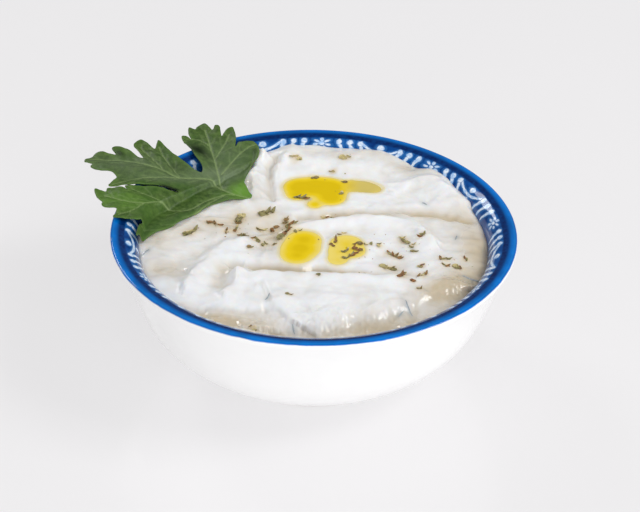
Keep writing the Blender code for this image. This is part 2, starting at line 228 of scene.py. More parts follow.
# %% Shared shader groups
def noise_group(name, output, detail, roughness):
    group = bpy.data.node_groups.new(name, "ShaderNodeTree")
    group.interface.new_socket("Size in mm", in_out="INPUT", socket_type="NodeSocketFloat")
    group.interface.new_socket(output, in_out="OUTPUT", socket_type="NodeSocketFloat")
    taken = group.nodes.new("NodeGroupInput")
    given = group.nodes.new("NodeGroupOutput")
    size = Field(group, taken.outputs["Size in mm"])
    join = group.nodes.new("ShaderNodeCombineXYZ")
    for socket, axis in zip(join.inputs, place(group)):
        feed(group, socket, axis / size)
    cloud = group.nodes.new("ShaderNodeTexNoise")
    group.links.new(join.outputs[0], cloud.inputs["Vector"])
    cloud.inputs["Scale"].default_value = 1.0
    cloud.inputs["Detail"].default_value = detail
    cloud.inputs["Roughness"].default_value = roughness
    feed(group, given.inputs[0], Field(group, cloud.outputs["Fac"]))
    return group


MOTTLE = noise_group("mottle", "Mask", 3.0, 0.6)
GRAIN = noise_group("grain", "Height", 2.0, 0.5)


def use_group(tree, group, size):
    node = tree.nodes.new("ShaderNodeGroup")
    node.node_tree = group
    node.inputs["Size in mm"].default_value = size
    return Field(tree, node.outputs[0])


def new_finish(name, **constants):
    """A Principled material, its tree and its shader, with the constant sockets set."""
    finish = bpy.data.materials.new(name)
    finish.use_nodes = True
    tree = finish.node_tree
    shader = tree.nodes["Principled BSDF"]
    for socket, value in constants.items():
        shader.inputs[socket.replace("_", " ")].default_value = value
    return finish, tree, shader


def add_bump(tree, shader, height, distance):
    """Fine relief, this many mm high."""
    bump = tree.nodes.new("ShaderNodeBump")
    bump.inputs["Distance"].default_value = distance * MM
    bump.inputs["Strength"].default_value = 1.0
    feed(tree, bump.inputs["Height"], height)
    tree.links.new(bump.outputs["Normal"], shader.inputs["Normal"])


# %% [markdown]
# ## The painted border
# Inside the rim runs a blue border with a garland left in white: a small flower, three
# leaning commas on either side of it, and a swag between one flower and the next. It
# repeats round the bowl, so one repeat is drawn as distances to a few dots and strokes,
# and the angle round the bowl is folded into that one repeat.

# %% Garland group
GARLAND_REPEATS = 9
GARLAND_PHASE = 0.3
REPEAT_DEGREES = 360 / GARLAND_REPEATS
REPEAT_LENGTH = 37.0
HALF_REPEAT = REPEAT_LENGTH / 2
COMMA_MIDDLE = 9.0
COMMA_PITCH = 3.3
FLOWER_DOWN = 3.0
PETALS = 7
SQUASH = 1.4


def dash(u, v, start, end, start_radius, end_radius):
    """Distance outside a tapering stroke from start to end."""
    run_u, run_v = end[0] - start[0], end[1] - start[1]
    from_u, from_v = u - start[0], v - start[1]
    share = (from_u * run_u + from_v * run_v) / (run_u * run_u + run_v * run_v)
    share = share.sum("MAXIMUM", 0.0).sum("MINIMUM", 1.0)
    gap = far(from_u - share * run_u, from_v - share * run_v)
    return gap - (share * (end_radius - start_radius) + start_radius)


def make_garland():
    group = bpy.data.node_groups.new("garland", "ShaderNodeTree")
    for name in ("Turn in degrees", "Down in mm", "Unevenness"):
        group.interface.new_socket(name, in_out="INPUT", socket_type="NodeSocketFloat")
    group.interface.new_socket("Distance", in_out="OUTPUT", socket_type="NodeSocketFloat")
    taken = group.nodes.new("NodeGroupInput")
    given = group.nodes.new("NodeGroupOutput")
    turn, down, uneven = (Field(group, taken.outputs[k]) for k in range(3))

    share = (turn / REPEAT_DEGREES + GARLAND_PHASE).sum("FRACT")
    u = (share - 0.5) * REPEAT_LENGTH
    v = down * SQUASH
    out = far(u, v - FLOWER_DOWN)
    spoke = ((v - FLOWER_DOWN).sum("ARCTAN2", u) / math.tau * PETALS + 0.25).sum("FRACT") - 0.5
    spoke = spoke * (math.tau / PETALS)
    petal = far((out * spoke.sum("COSINE") - 2.0) * 0.62, out * spoke.sum("SINE")) - 0.52
    flower = petal.sum("MINIMUM", out - 0.8)

    side = u.sum("ABSOLUTE")
    lane = ((side - COMMA_MIDDLE) / COMMA_PITCH).sum("ROUND")
    lane = lane.sum("MAXIMUM", -1.0).sum("MINIMUM", 1.0)
    across = side - COMMA_MIDDLE - lane * COMMA_PITCH
    head = far(across + 0.3, (v - 1.7) * 0.62) - 0.86
    tail = dash(across, v, (0.1, 3.3), (1.5, 8.0), 0.62, 0.34)
    commas = head.sum("MINIMUM", tail)

    along = (side - HALF_REPEAT) * -1.0
    swag = (v - (along * along * -0.09 + 4.6)).sum("ABSOLUTE") - 0.6
    swag = swag.sum("MAXIMUM", along - 5.6)
    bud = far(along * 0.9, (v - 1.9) * 0.8) - 1.05
    hanging = far(along * 1.1, (v - 7.4) * 0.6) - 1.0
    distance = flower.sum("MINIMUM", commas).sum("MINIMUM", swag)
    distance = distance.sum("MINIMUM", bud).sum("MINIMUM", hanging)
    feed(group, given.inputs[0], distance + uneven)
    print("garland nodes", len(group.nodes))
    return group


GARLAND = make_garland()

# %% [markdown]
# ## The glaze
# One mask carried by the mesh tells the glaze where it is: the distance along the wall
# from the top of the lip, more than zero inside and less than zero outside. The lip is
# banded in bright blue with a darker line inside it, then comes the border, and the
# outside is plain white. Cobalt paint pools and thins, so mottle moves its shade about.

# %% Glaze material
BLUE_FROM, NAVY_FROM, BORDER_FROM = -0.75, 1.9, 3.5


def make_glaze():
    finish, tree, shader = new_finish("painted_glaze", Specular_IOR_Level=0.4)
    x, y, _ = place(tree)
    turn = y.sum("ARCTAN2", x) * (180 / math.pi)
    run = attribute(tree, "run")
    fine, broad = use_group(tree, MOTTLE, 1.3), use_group(tree, MOTTLE, 7.0)

    border = tree.nodes.new("ShaderNodeGroup")
    border.node_tree = GARLAND
    for socket, value in zip(border.inputs, (turn, run - BORDER_FROM, (fine - 0.5) * 1.3)):
        feed(tree, socket, value)
    distance = Field(tree, border.outputs[0])

    ground = blend(tree, broad.step(0.3, 0.7), paint(2, 46, 112), paint(10, 78, 152))
    # Painted reflection: lower down the wall the ground is painted greyer, for the white dip reflected
    # in the glaze.
    ground = blend(tree, (run - BORDER_FROM).step(3.0, 6.0) * 0.6, ground, paint(66, 98, 156))
    ground = blend(tree, distance.step(1.2, 0.1) * 0.5, ground, paint(60, 130, 196))
    drawn = blend(tree, fine.step(0.3, 0.62), paint(150, 190, 236), paint(226, 236, 248))
    inside = blend(tree, distance.step(0.22, -0.22), ground, drawn)
    rim = blend(tree, broad.step(0.3, 0.7), paint(0, 92, 172), paint(0, 112, 204))
    rim = blend(tree, run.step(0.5, 1.8) * 0.8, rim, paint(0, 66, 128))
    # Painted highlight: the lip's crown is painted lighter along its middle, partly also the glaze
    # breaking paler there.
    rim = blend(tree, (run - 0.1).sum("ABSOLUTE").step(0.5, 0.1) * 0.35, rim, paint(30, 130, 205))
    line = blend(tree, fine.step(0.3, 0.7), paint(0, 32, 86), paint(2, 52, 114))

    edge = run + (broad - 0.5) * 0.5
    white = blend(tree, broad, paint(246, 246, 246), paint(250, 250, 250))
    colour = white
    for start, before, after, band in ((BLUE_FROM, 0.25, 0.25, rim), (NAVY_FROM, 0.6, 0.3, line),
                                       (BORDER_FROM, 0.3, 0.3, inside)):
        colour = blend(tree, edge.step(start - before, start + after), colour, band)
    bare = attribute(tree, "bare")
    colour = blend(tree, bare, colour, paint(214, 206, 192))
    feed(tree, shader.inputs["Base Color"], colour)
    feed(tree, shader.inputs["Roughness"], bare * 0.6 + 0.07)
    add_bump(tree, shader, use_group(tree, GRAIN, 9.0), 0.10)
    return finish


glaze = make_glaze()

# %% [markdown]
# ## The bowl
# A thrown or pressed bowl is a profile turned about its axis, so the piece is a lathe
# mesh. The lip is a tight round outside and a broad flare inside, both walls are smooth
# curves down from it, and the foot ring is bare where the bowl stands in the kiln. The
# packed bowl's few straight facets are replaced by many fine ones.

# %% Turn the bowl
LIP_CROWN, LIP_OUTER_DROP = 58.8, 0.9
LIP_POINTS, FLARE_POINTS = 10, 26
OUTER_HANDLE_HIGH, OUTER_HANDLE_LOW, OUTER_END = (49.5, 20.5), (55.0, 31.1), (27.5, 40.0)
INNER_START, INNER_HANDLE_HIGH = (51.2, 6.5), (50.6, 14.0)
INNER_HANDLE_LOW, INNER_END = (46.0, 29.0), (26.0, 36.8)
FLOOR_DEPTH = 37.6
FOOT_RADIUS, FOOT_WIDTH, FOOT_RECESS = 27.0, 2.6, 3.0
# The foot ring's round shoulder, (outwards, down) in mm, then its lower edge, from its
# outer side to its inner: (mm in from the outer side, mm above the table).
FOOT_SHOULDER = [(0.15, 0.5), (0.0, 1.2)]
FOOT_EDGE = [(0.0, 0.7), (0.12, 0.3), (0.4, 0.06), (0.8, 0.0), (1.8, 0.0), (2.3, 0.1), (2.6, 0.5)]
BARE_HEIGHT = 0.35
TURN_STEPS = 240
WALL_STEPS = 44


def cubic(start, handle_a, handle_b, end, count):
    t = np.linspace(0.0, 1.0, count)[:, None]
    weights = np.hstack([(1 - t) ** 3, 3 * (1 - t) ** 2 * t, 3 * (1 - t) * t**2, t**3])
    return weights @ np.array([start, handle_a, handle_b, end], float)


def lip_quarter(reach, drop, count):
    """(radius, depth below the rim) from the side of a quarter ellipse up to the crown."""
    turn = np.linspace(0.0, math.pi / 2, count)
    return np.column_stack([LIP_CROWN + reach * np.cos(turn), drop - drop * np.sin(turn)])


FLARE = lip_quarter(INNER_START[0] - LIP_CROWN, INNER_START[1], FLARE_POINTS)
WALL = cubic(INNER_START, INNER_HANDLE_HIGH, INNER_HANDLE_LOW, INNER_END, WALL_STEPS)
WALL_TABLE = np.vstack([FLARE[::-1], WALL[1:]])


def inner_radius(height):
    return np.interp(BOWL_HEIGHT - np.asarray(height), WALL_TABLE[:, 1], WALL_TABLE[:, 0])


def bowl_profile():
    """(radius, depth below the rim) from the floor's middle, over the lip, to the middle below."""
    lip = lip_quarter(RIM_RADIUS - LIP_CROWN, LIP_OUTER_DROP, LIP_POINTS)[::-1][1:-1]
    outside = cubic((RIM_RADIUS, LIP_OUTER_DROP), OUTER_HANDLE_HIGH, OUTER_HANDLE_LOW,
                    OUTER_END, WALL_STEPS)
    foot = [(FOOT_RADIUS + out, OUTER_END[1] + down) for out, down in FOOT_SHOULDER]
    foot += [(FOOT_RADIUS - across, BOWL_HEIGHT - up) for across, up in FOOT_EDGE]
    recess = FOOT_RADIUS - FOOT_WIDTH
    roof = BOWL_HEIGHT - FOOT_RECESS
    foot += [(recess - 0.4, roof + 0.3), (recess - 0.9, roof), (0.0, roof)]
    crown_index = len(WALL_TABLE)
    return np.array([(0.0, FLOOR_DEPTH), *WALL_TABLE[::-1], *lip, *outside, *foot]), crown_index


def make_bowl():
    profile, crown = bowl_profile()
    steps = np.hypot(*np.diff(profile, axis=0).T)
    run = np.concatenate([[0.0], np.cumsum(steps)])
    run = run[crown] - run
    bare = np.where(run < 0, (profile[:, 1] > BOWL_HEIGHT - BARE_HEIGHT) * 1.0, 0.0)
    turns = np.arange(TURN_STEPS) * math.tau / TURN_STEPS
    rings = profile[1:-1]
    places = [(0.0, 0.0, BOWL_HEIGHT - profile[0, 1])]
    for radius, depth in rings:
        places += [(radius * math.cos(t), radius * math.sin(t), BOWL_HEIGHT - depth) for t in turns]
    places.append((0.0, 0.0, BOWL_HEIGHT - profile[-1, 1]))
    faces = cap_faces(0, 1, TURN_STEPS)
    for k in range(len(rings) - 1):
        faces += ring_faces(1 + k * TURN_STEPS, 1 + (k + 1) * TURN_STEPS, TURN_STEPS)
    faces += cap_faces(len(places) - 1, 1 + (len(rings) - 1) * TURN_STEPS, TURN_STEPS)
    masks = {name: np.concatenate([[m[0]], np.repeat(m[1:-1], TURN_STEPS), [m[-1]]])
             for name, m in (("run", run), ("bare", bare))}
    return add_mesh("glazed_bowl", places, faces, glaze, masks)


bowl = make_bowl()

# %% [markdown]
# ## Spoon marks
# Thick yoghurt keeps the marks of the spoon. Each heap is a soft mound, each stroke is a
# ridge or groove along a curved path with its own width on either side, and each ledge is
# a step where one spoonful lies on the last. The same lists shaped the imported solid, and
# here the narrow strokes are as sharp as the real ones.

# %% Heaps, strokes and ledges
BASE_LEVEL, BACK_TILT = 39.7, 0.03
# Heaps and hollows: x, y, half-length, half-width, turn in degrees, height.
HEAPS = [
    (8.0, 46.3, 28.0, 11.0, 0.0, 2.6), (37.0, 32.3, 11.0, 8.0, -40.0, 2.8),
    (-7.5, 48.3, 4.0, 3.6, 0.0, 1.6), (-16.8, 44.8, 2.0, 2.6, 0.0, 2.2),
    (-24.0, 23.3, 12.0, 8.0, 20.0, 0.8), (28.0, 41.3, 6.0, 4.0, -20.0, -0.9),
    (4.0, -2.7, 18.0, 12.0, 0.0, -0.9), (5.0, -26.7, 34.0, 11.0, 0.0, 1.6),
    (-26.5, -16.7, 3.0, 6.5, -14.0, -2.0), (-43.0, -15.7, 6.0, 8.0, 0.0, -1.0),
    (-45.0, -8.2, 4.5, 4.0, 0.0, 1.0), (53.0, -0.7, 9.0, 20.0, 0.0, -0.6),
    (45.0, -17.7, 5.0, 3.0, -25.0, -1.3), (38.0, -2.7, 9.0, 9.0, 0.0, 0.9),
    (-52.0, 2.0, 8.0, 8.0, 0.0, 1.2), (-30.0, -44.0, 20.0, 5.0, -30.0, 2.0),
]
# Strokes: path, width to its left, width to its right, height.
STROKES = [
    ([(-18.0, 44.3), (-18.6, 35.3), (-17.0, 25.3)], 2.2, 1.8, 1.6),
    ([(-13.6, 45.3), (-14.0, 35.3), (-13.0, 24.3)], 1.6, 1.6, -1.5),
    ([(-10.2, 44.3), (-10.4, 35.3), (-11.6, 25.3)], 1.8, 1.6, 1.2),
    ([(22.0, 30.3), (32.0, 31.8), (40.0, 28.3), (45.0, 21.3)], 2.4, 3.4, 1.6),
    ([(-4.0, 14.3), (8.0, 15.8), (22.0, 17.8), (36.0, 17.3), (46.0, 13.3)], 1.8, 1.8, -1.3),
    ([(-6.0, 7.8), (4.0, 11.1), (13.0, 13.5), (22.0, 13.3), (30.0, 9.3), (35.0, 1.3)],
     1.6, 3.2, 1.8),
    ([(-23.0, -11.7), (-10.0, -13.3), (2.0, -13.7), (13.0, -16.2)], 2.0, 1.4, -1.5),
    ([(-22.0, -16.3), (-10.0, -16.9), (0.0, -17.3), (11.0, -18.3), (22.0, -17.7)], 1.1, 4.0, 1.3),
    ([(-22.0, 0.3), (-28.0, -5.7), (-33.0, -13.7), (-35.0, -22.7)], 4.2, 2.6, 1.5),
    ([(-21.0, -12.7), (-21.6, -19.7), (-24.0, -26.7)], 2.4, 1.4, 1.0),
    ([(-14.5, -21.7), (-13.0, -27.7), (-13.5, -33.7)], 1.2, 1.2, -0.8),
    ([(26.0, -25.7), (29.0, -30.7), (28.0, -37.7)], 1.3, 1.3, -0.7),
]
# Ledges: the surface drops to the right of each path by this much, over this width.
LEDGES = [
    ([(-40.0, -31.7), (-30.0, -33.5), (-12.0, -33.7), (-6.0, -37.7)], 0.7, 1.3),
    ([(-8.0, -41.2), (5.0, -40.2), (15.0, -36.7), (25.0, -32.7), (33.0, -25.7), (42.0, -21.7)],
     1.6, 2.0),
]
LEDGE_REACH = 9.0
# Oil pools: the level of the oil and the round drops that ran together, x, y, radius.
POOLS = {
    "oil_pool_large": (41.0, [
        (-4.4, 30.0, 5.6), (0.2, 30.4, 6.2), (4.2, 29.6, 6.4), (4.8, 24.4, 5.0), (-5.4, 25.8, 3.6),
        (0.0, 19.9, 2.4), (11.5, 31.4, 3.5), (15.8, 30.9, 3.2), (18.4, 29.8, 2.4)]),
    "oil_pool_middle": (39.9, [(-2.9, 1.6, 5.3), (-3.8, -3.0, 5.9), (-4.9, -6.7, 4.9)]),
    "oil_pool_small": (39.9, [
        (9.6, -0.3, 4.9), (11.4, -4.1, 3.8), (7.6, -4.7, 3.4), (7.0, -8.9, 2.9)]),
}
DROP_BLEND, SHORE_WIDTH, SHORE_LIP = 0.7, 2.6, 0.15
# How the marks wander: reach in mm, size of a bend in mm, seed. They keep clear of the oil.
DRIFT_X = [(1.6, 8.0, 21.0), (0.5, 2.8, 22.0)]
DRIFT_Y = [(1.5, 8.0, 31.0), (0.5, 2.8, 32.0)]
DRIFT_CLEAR = 3.0


def lumps(x, y, size, seed, stretch=1.0):
    """Smooth unevenness from -1 to 1, its lumps this size in mm."""
    flat = zip(np.ravel(x) / size / stretch, np.ravel(y) / size)
    return np.array([noise.noise(Vector((a, b, seed))) for a, b in flat]).reshape(np.shape(x))


def span(a, b, c, d, t):
    """A Catmull-Rom curve from b to c, where a comes before them and d after."""
    return 0.5 * (2 * b + (c - a) * t + (2 * a - 5 * b + 4 * c - d) * t**2
                  + (3 * b - a - 3 * c + d) * t**3)


def smooth_path(points, steps=8):
    ends = [2 * np.array(points[0]) - points[1], *map(np.array, points)]
    ends.append(2 * np.array(points[-1]) - points[-2])
    t = np.linspace(0.0, 1.0, steps, endpoint=False)[:, None]
    parts = [span(*four, t) for four in zip(ends, ends[1:], ends[2:], ends[3:])]
    return np.vstack([*parts, ends[-2][None]])


def segment_gap(start, run, x, y):
    """The step to a place from the nearest place on a straight run from start."""
    share = ((x - start[0]) * run[0] + (y - start[1]) * run[1]) / (run @ run)
    share = np.clip(share, 0.0, 1.0)
    return x - start[0] - share * run[0], y - start[1] - share * run[1]


def path_distance(points, x, y):
    """(distance, side) from the nearest place on a path; side is +1 to its left."""
    route = smooth_path(points)
    nearest, side = np.full(np.shape(x), FAR), np.zeros(np.shape(x))
    for start, end in zip(route, route[1:]):
        run = end - start
        gap_x, gap_y = segment_gap(start, run, x, y)
        distance = np.hypot(gap_x, gap_y)
        closer = distance < nearest
        nearest = np.where(closer, distance, nearest)
        side = np.where(closer, np.sign(run[0] * gap_y - run[1] * gap_x), side)
    return nearest, side


def pool_distance(drops, x, y):
    """Distance outside a pool's shore line, negative inside it."""
    total = sum(np.exp((r - np.hypot(x - cx, y - cy)) / DROP_BLEND) for cx, cy, r in drops)
    return -DROP_BLEND * np.log(total + TINY)


def soft_spot(x, y, spot):
    """1 in the middle of an oval spot (x, y, half-length, half-width, turn), fading outwards."""
    cx, cy, long_way, short_way, turn = spot
    along = math.radians(turn)
    u = (x - cx) * math.cos(along) + (y - cy) * math.sin(along)
    v = (y - cy) * math.cos(along) - (x - cx) * math.sin(along)
    return np.exp(-((u / long_way) ** 2) - (v / short_way) ** 2)


def spooned_height(x, y):
    """Height of the dip with its spoon marks wandering a little, as a hand leaves them."""
    away = 1 - np.exp(-((pools_distance(x, y) / DRIFT_CLEAR) ** 2))
    drift_x, drift_y = (
        start + away * sum(reach * lumps(x, y, size, seed) for reach, size, seed in drift)
        for start, drift in ((x, DRIFT_X), (y, DRIFT_Y)))
    return dip_height(drift_x, drift_y)


def pools_distance(x, y):
    """Distance outside the nearest pool, and 0 inside one."""
    nearest = np.minimum.reduce([pool_distance(drops, x, y) for _, drops in POOLS.values()])
    return np.maximum(nearest, 0.0)


def dip_height(x, y):
    """Height of the spooned surface above the table, in mm, before its fine relief."""
    height = BASE_LEVEL + BACK_TILT * y
    for *spot, rise in HEAPS:
        height = height + rise * soft_spot(x, y, spot)
    for path, left, right, rise in STROKES:
        distance, side = path_distance(path, x, y)
        height = height + rise * np.exp(-((distance / np.where(side > 0, left, right)) ** 2))
    for path, width, drop in LEDGES:
        distance, side = path_distance(path, x, y)
        fall = 0.5 - 0.5 * np.tanh(side * distance / width)
        height = height - drop * fall * np.exp(-((distance / LEDGE_REACH) ** 4))
    for level, drops in POOLS.values():
        distance = np.maximum(pool_distance(drops, x, y), 0.0)
        shore = np.exp(-((distance / SHORE_WIDTH) ** 2))
        height = height * (1 - shore) + (level + SHORE_LIP) * shore
    return height


# %% [markdown]
# ## Fine relief
# Up close the dip is lumpy: grated cucumber lies just under the skin, air leaves small
# pits, and the spoon drags fine lines. Smooth noise gives the lumps and the drag lines,
# and each shred of cucumber is a short raised bar. All of it is real geometry, a few
# tenths of a millimetre high, and it dies away under the oil.

# %% Relief and basins
rng = np.random.default_rng(11)
SHRED_COUNT = 120
SHREDS = np.column_stack([
    rng.uniform(-50, 50, SHRED_COUNT), rng.uniform(-50, 50, SHRED_COUNT),
    rng.uniform(2.0, 4.5, SHRED_COUNT), rng.uniform(0.6, 1.1, SHRED_COUNT),
    rng.uniform(0, 180, SHRED_COUNT), rng.uniform(0.12, 0.38, SHRED_COUNT)])


# Lumps all over: height in mm, size in mm, seed, stretch along X.
LUMPS = [(0.90, 12.0, 1.0, 1.2), (0.60, 5.5, 6.0, 1.3), (0.20, 2.6, 2.0, 1.3), (0.05, 1.1, 3.0, 1.6)]
# The wet front is knobbly, and so is a spot at the right of it.
FRONT_FROM, FRONT_BLEND, WET_SPOT = -34.0, 2.5, (44.0, -21.0, 11.0, 9.0, -30.0)
WET_KNOBS, WET_GRAINS = (0.35, 3.0, 5.0), (0.30, 1.1, 8.0)
# Fine drag lines beside the large pool lie along this spot's turn.
DRAG_SPOT, DRAG_RUN, DRAG_SIDE, DRAG_LINES = (26.0, 27.0, 24.0, 14.0, -20.0), 0.94, 0.34, 0.15
CALM_NEAR_OIL = 1.4
BASIN_SLOPE, BASIN_DEPTH = 0.5, 1.3


def fine_relief(x, y):
    relief = sum(rise * lumps(x, y, size, seed, stretch) for rise, size, seed, stretch in LUMPS)
    front = 1 / (1 + np.exp((y - FRONT_FROM) / FRONT_BLEND))
    front = np.maximum(front, soft_spot(x, y, WET_SPOT))
    relief += front * (WET_KNOBS[0] * np.abs(lumps(x, y, *WET_KNOBS[1:]))
                       + WET_GRAINS[0] * lumps(x, y, *WET_GRAINS[1:]))
    along, across = DRAG_RUN * x - DRAG_SIDE * y, DRAG_SIDE * x + DRAG_RUN * y
    relief += DRAG_LINES * soft_spot(x, y, DRAG_SPOT) * lumps(along, across, 1.3, 15.0, 7.0)
    for *spot, rise in SHREDS:
        relief += rise * soft_spot(x, y, spot)
    return relief * (1 - np.exp(-((pools_distance(x, y) / CALM_NEAR_OIL) ** 2)))


def basins(x, y):
    """How far the surface lies under the oil."""
    return sum(np.clip(-pool_distance(drops, x, y) * BASIN_SLOPE, 0.0, BASIN_DEPTH)
               for _, drops in POOLS.values())


# %% [markdown]
# ## The dip
# The surface is a square grid pressed into a disc, so its cells are even and no point
# crowds the middle. The disc is then stretched to the wall at each turn and pushed a
# little into the glaze, so that no gap shows. Its edge rounds down where the dip wets
# the wall. Skirt rings and a floor close it into one solid.

# %% Grid over the dip
GRID = 291
EDGE_BITE = 0.35
EDGE_ROUND, EDGE_DROP = 0.9, 0.9
EDGE_GUESS, EDGE_ROUNDS, EDGE_LUMPS = 8.0, 16, 0.5


def disc_grid(count):
    lines = np.linspace(-1.0, 1.0, count)
    a, b = np.meshgrid(lines, lines)
    wide = np.abs(a) > np.abs(b)
    reach = np.where(wide, a, b)
    safe = np.where(reach == 0, 1.0, reach)
    turn = np.where(wide, math.pi / 4 * b / safe, math.pi / 2 - math.pi / 4 * a / safe)
    return reach * np.cos(turn), reach * np.sin(turn)


def edge_reach():
    """How far the dip reaches at each degree before it meets the wall."""
    turns = np.radians(np.arange(0, 360, 1.0))
    radius = np.full(len(turns), RIM_RADIUS - EDGE_GUESS)
    for _ in range(EDGE_ROUNDS):
        height = dip_height(radius * np.cos(turns), radius * np.sin(turns))
        height = height + EDGE_LUMPS * lumps(np.cos(turns), np.sin(turns), 0.12, 9.0)
        radius = 0.5 * radius + 0.5 * inner_radius(height)
    return turns, radius


def perimeter(count):
    """The numbers of the grid's outer points, in order round it."""
    last = count * (count - 1)
    return [*range(0, count - 1), *range(count - 1, last + count - 1, count),
            *range(last + count - 1, last, -1), *range(last, 0, -count)]


unit_x, unit_y = disc_grid(GRID)
edge_turns, edge_radius = edge_reach()
grid_turn = np.arctan2(unit_y, unit_x) % math.tau
wall_reach = np.interp(grid_turn, edge_turns, edge_radius, period=math.tau)
dip_x, dip_y = unit_x * wall_reach, unit_y * wall_reach
print("edge radius", edge_radius.min().round(1), "to", edge_radius.max().round(1))

# %% Heights over the grid
wall_gap = wall_reach * (1 - np.hypot(unit_x, unit_y))
dip_z = spooned_height(dip_x, dip_y) + fine_relief(dip_x, dip_y) - basins(dip_x, dip_y)
dip_z -= EDGE_DROP * np.exp(-wall_gap / EDGE_ROUND)
print("dip from", dip_z.min().round(1), "to", dip_z.max().round(1), "mm")

# %% [markdown]
# ## Stains and painted shade on the dip
# The dip isn't one white. Its hollows are painted warm and beige, partly for the whey that
# gathers there and makes them a little glassy, and partly as painted shade, which also
# lies beside the walls and under the leaf. Cucumber greys it where a shred lies under the
# skin, and oil yellows the shore of each pool and a halo under each flake of herb. Each is
# a mask over the grid. A hollow is found by smoothing the heights and asking where the
# surface lies below that.

# %% Herb places
# Herb flakes: x, y, length, turn in degrees, tone (0 pale stalk, 0.5 olive, 0.8 brown, 1 rust).
HERBS = [
    (-22.5, 12.3, 6.5, 80, 0.60), (-14.5, 15.3, 6.5, 25, 0.55), (-36.5, 4.3, 5.0, 35, 0.45),
    (-30.5, 9.5, 4.0, -10, 0.70), (-28.0, 8.3, 2.5, 10, 0.75), (-23.5, 6.5, 3.5, 70, 0.65),
    (-21.0, 3.3, 4.0, -12, 0.60), (-26.0, 5.3, 2.5, 60, 0.80), (-17.0, 1.0, 3.5, -15, 0.55),
    (-16.0, 7.7, 3.5, -5, 0.45), (-18.5, -3.5, 2.2, 30, 0.60), (-14.5, -0.7, 2.6, 65, 0.50),
    (-11.5, -0.7, 2.2, 20, 0.60), (-12.0, 8.3, 3.5, 60, 0.65), (-8.0, 6.5, 4.6, 75, 0.70),
    (-6.8, 9.7, 5.0, 55, 0.55), (-8.6, 11.9, 3.5, 80, 0.60), (-9.8, 2.3, 4.0, 60, 0.40),
    (-4.8, 6.5, 2.4, 10, 0.80), (5.6, 38.9, 2.4, 15, 0.55), (9.0, 33.5, 2.6, 0, 0.75),
    (8.0, 26.5, 2.2, 40, 0.70), (0.0, 35.3, 2.2, 10, 0.60), (3.0, 14.8, 2.6, 12, 0.70),
    (5.4, 15.1, 2.2, -20, 0.75), (8.2, 5.5, 3.0, 10, 0.60), (6.4, 1.5, 3.2, 75, 0.75),
    (5.4, -1.3, 2.2, -30, 0.65), (9.6, -8.1, 3.6, 40, 0.80), (11.6, -6.1, 4.2, 55, 0.85),
    (13.0, -3.5, 3.6, -30, 0.80), (14.2, -0.3, 3.2, -35, 0.70), (11.8, -1.3, 2.8, 60, 0.75),
    (9.4, -4.3, 3.2, 20, 0.80), (16.8, 0.1, 1.8, 0, 0.60), (19.4, 0.1, 2.6, 70, 0.60),
    (26.5, 2.7, 4.6, -60, 0.50), (31.6, 2.9, 3.2, 30, 1.00), (29.0, -0.7, 2.8, 15, 0.55),
    (29.4, -3.5, 2.4, -20, 0.60), (22.4, -3.7, 4.2, -35, 0.90), (24.6, -5.7, 3.8, -20, 0.80),
    (22.0, -11.7, 5.6, -5, 0.55), (25.6, -17.1, 5.4, 78, 0.80), (28.6, -19.9, 1.8, 40, 0.90),
    (31.6, -16.1, 3.8, 35, 0.65), (31.4, -11.3, 2.8, 65, 0.85), (38.0, -8.1, 3.8, -15, 0.95),
    (38.6, -11.1, 2.6, -20, 0.65), (44.4, -7.1, 2.6, -12, 0.90), (42.0, -11.5, 3.4, -10, 1.00),
    (14.6, -15.7, 2.4, 60, 0.20), (1.6, -19.1, 2.2, 30, 0.50), (-6.6, -27.9, 2.0, 0, 0.60),
    (-16.6, -41.3, 2.6, -40, 0.60), (9.2, 44.5, 4.2, 8, 0.50), (-6.0, 43.7, 3.6, 10, 0.20),
    (30.6, -23.3, 2.2, 15, 0.70), (-3.8, 23.5, 5.4, -6, 0.75),
]
# Cucumber shreds that break the skin: x, y, length, turn in degrees, bend in degrees.
CUCUMBER = [
    (42.2, 3.9, 4.4, 78, 10), (45.2, -15.5, 6.5, -22, 14), (26.6, -31.1, 7.0, -62, 30),
    (24.6, -33.7, 4.0, 60, -20), (-12.6, -28.5, 4.5, 62, 25), (-5.2, -40.3, 4.0, -70, 15),
    (33.2, 21.7, 3.4, -42, 10), (-48.6, -6.3, 3.6, 50, 16),
]

# %% Masks over the grid
# Whey and painted shade in hollows, by the walls and under the leaf: x, y, half-length,
# half-width, turn in degrees, strength.
WHEY_AND_SHADE = [
    (28.0, 41.3, 13.0, 5.0, -32.0, 0.5), (12.0, 15.8, 18.0, 2.6, 3.0, 0.6),
    (36.0, 16.3, 11.0, 2.6, -12.0, 0.6), (49.5, -4.7, 7.5, 22.0, 8.0, 1.0),
    (43.0, -20.7, 10.0, 8.0, -30.0, 0.85), (-44.0, -13.2, 8.0, 7.0, 0.0, 0.55),
    (-5.0, -14.1, 19.0, 2.4, -4.0, 0.9), (-26.5, -16.7, 2.6, 6.0, -14.0, 0.1),
    (23.0, -42.7, 28.0, 9.0, 24.0, 0.9), (-26.0, -38.4, 20.0, 4.2, -8.0, 0.9),
    (-31.0, 8.3, 15.0, 7.0, 12.0, 0.6), (4.0, 47.3, 18.0, 3.0, 0.0, 0.3),
    (-24.0, 27.3, 8.0, 8.0, 0.0, 0.5), (36.0, -22.7, 10.0, 3.6, 30.0, 0.6),
    (-12.0, 3.3, 6.0, 9.0, 0.0, 0.6), (-48.0, 1.3, 5.0, 6.0, 0.0, 0.5),
]


def smoothed(values, rounds):
    for _ in range(rounds):
        wide = np.pad(values, 1, mode="edge")
        values = (wide[1:-1, 1:-1] * 2 + wide[:-2, 1:-1] + wide[2:, 1:-1]
                  + wide[1:-1, :-2] + wide[1:-1, 2:]) / 6
    return values


def spots_mask(spots):
    total = np.zeros(np.shape(dip_x))
    for *spot, strength in spots:
        total += strength * soft_spot(dip_x, dip_y, spot)
    return np.clip(total, 0.0, 1.0)


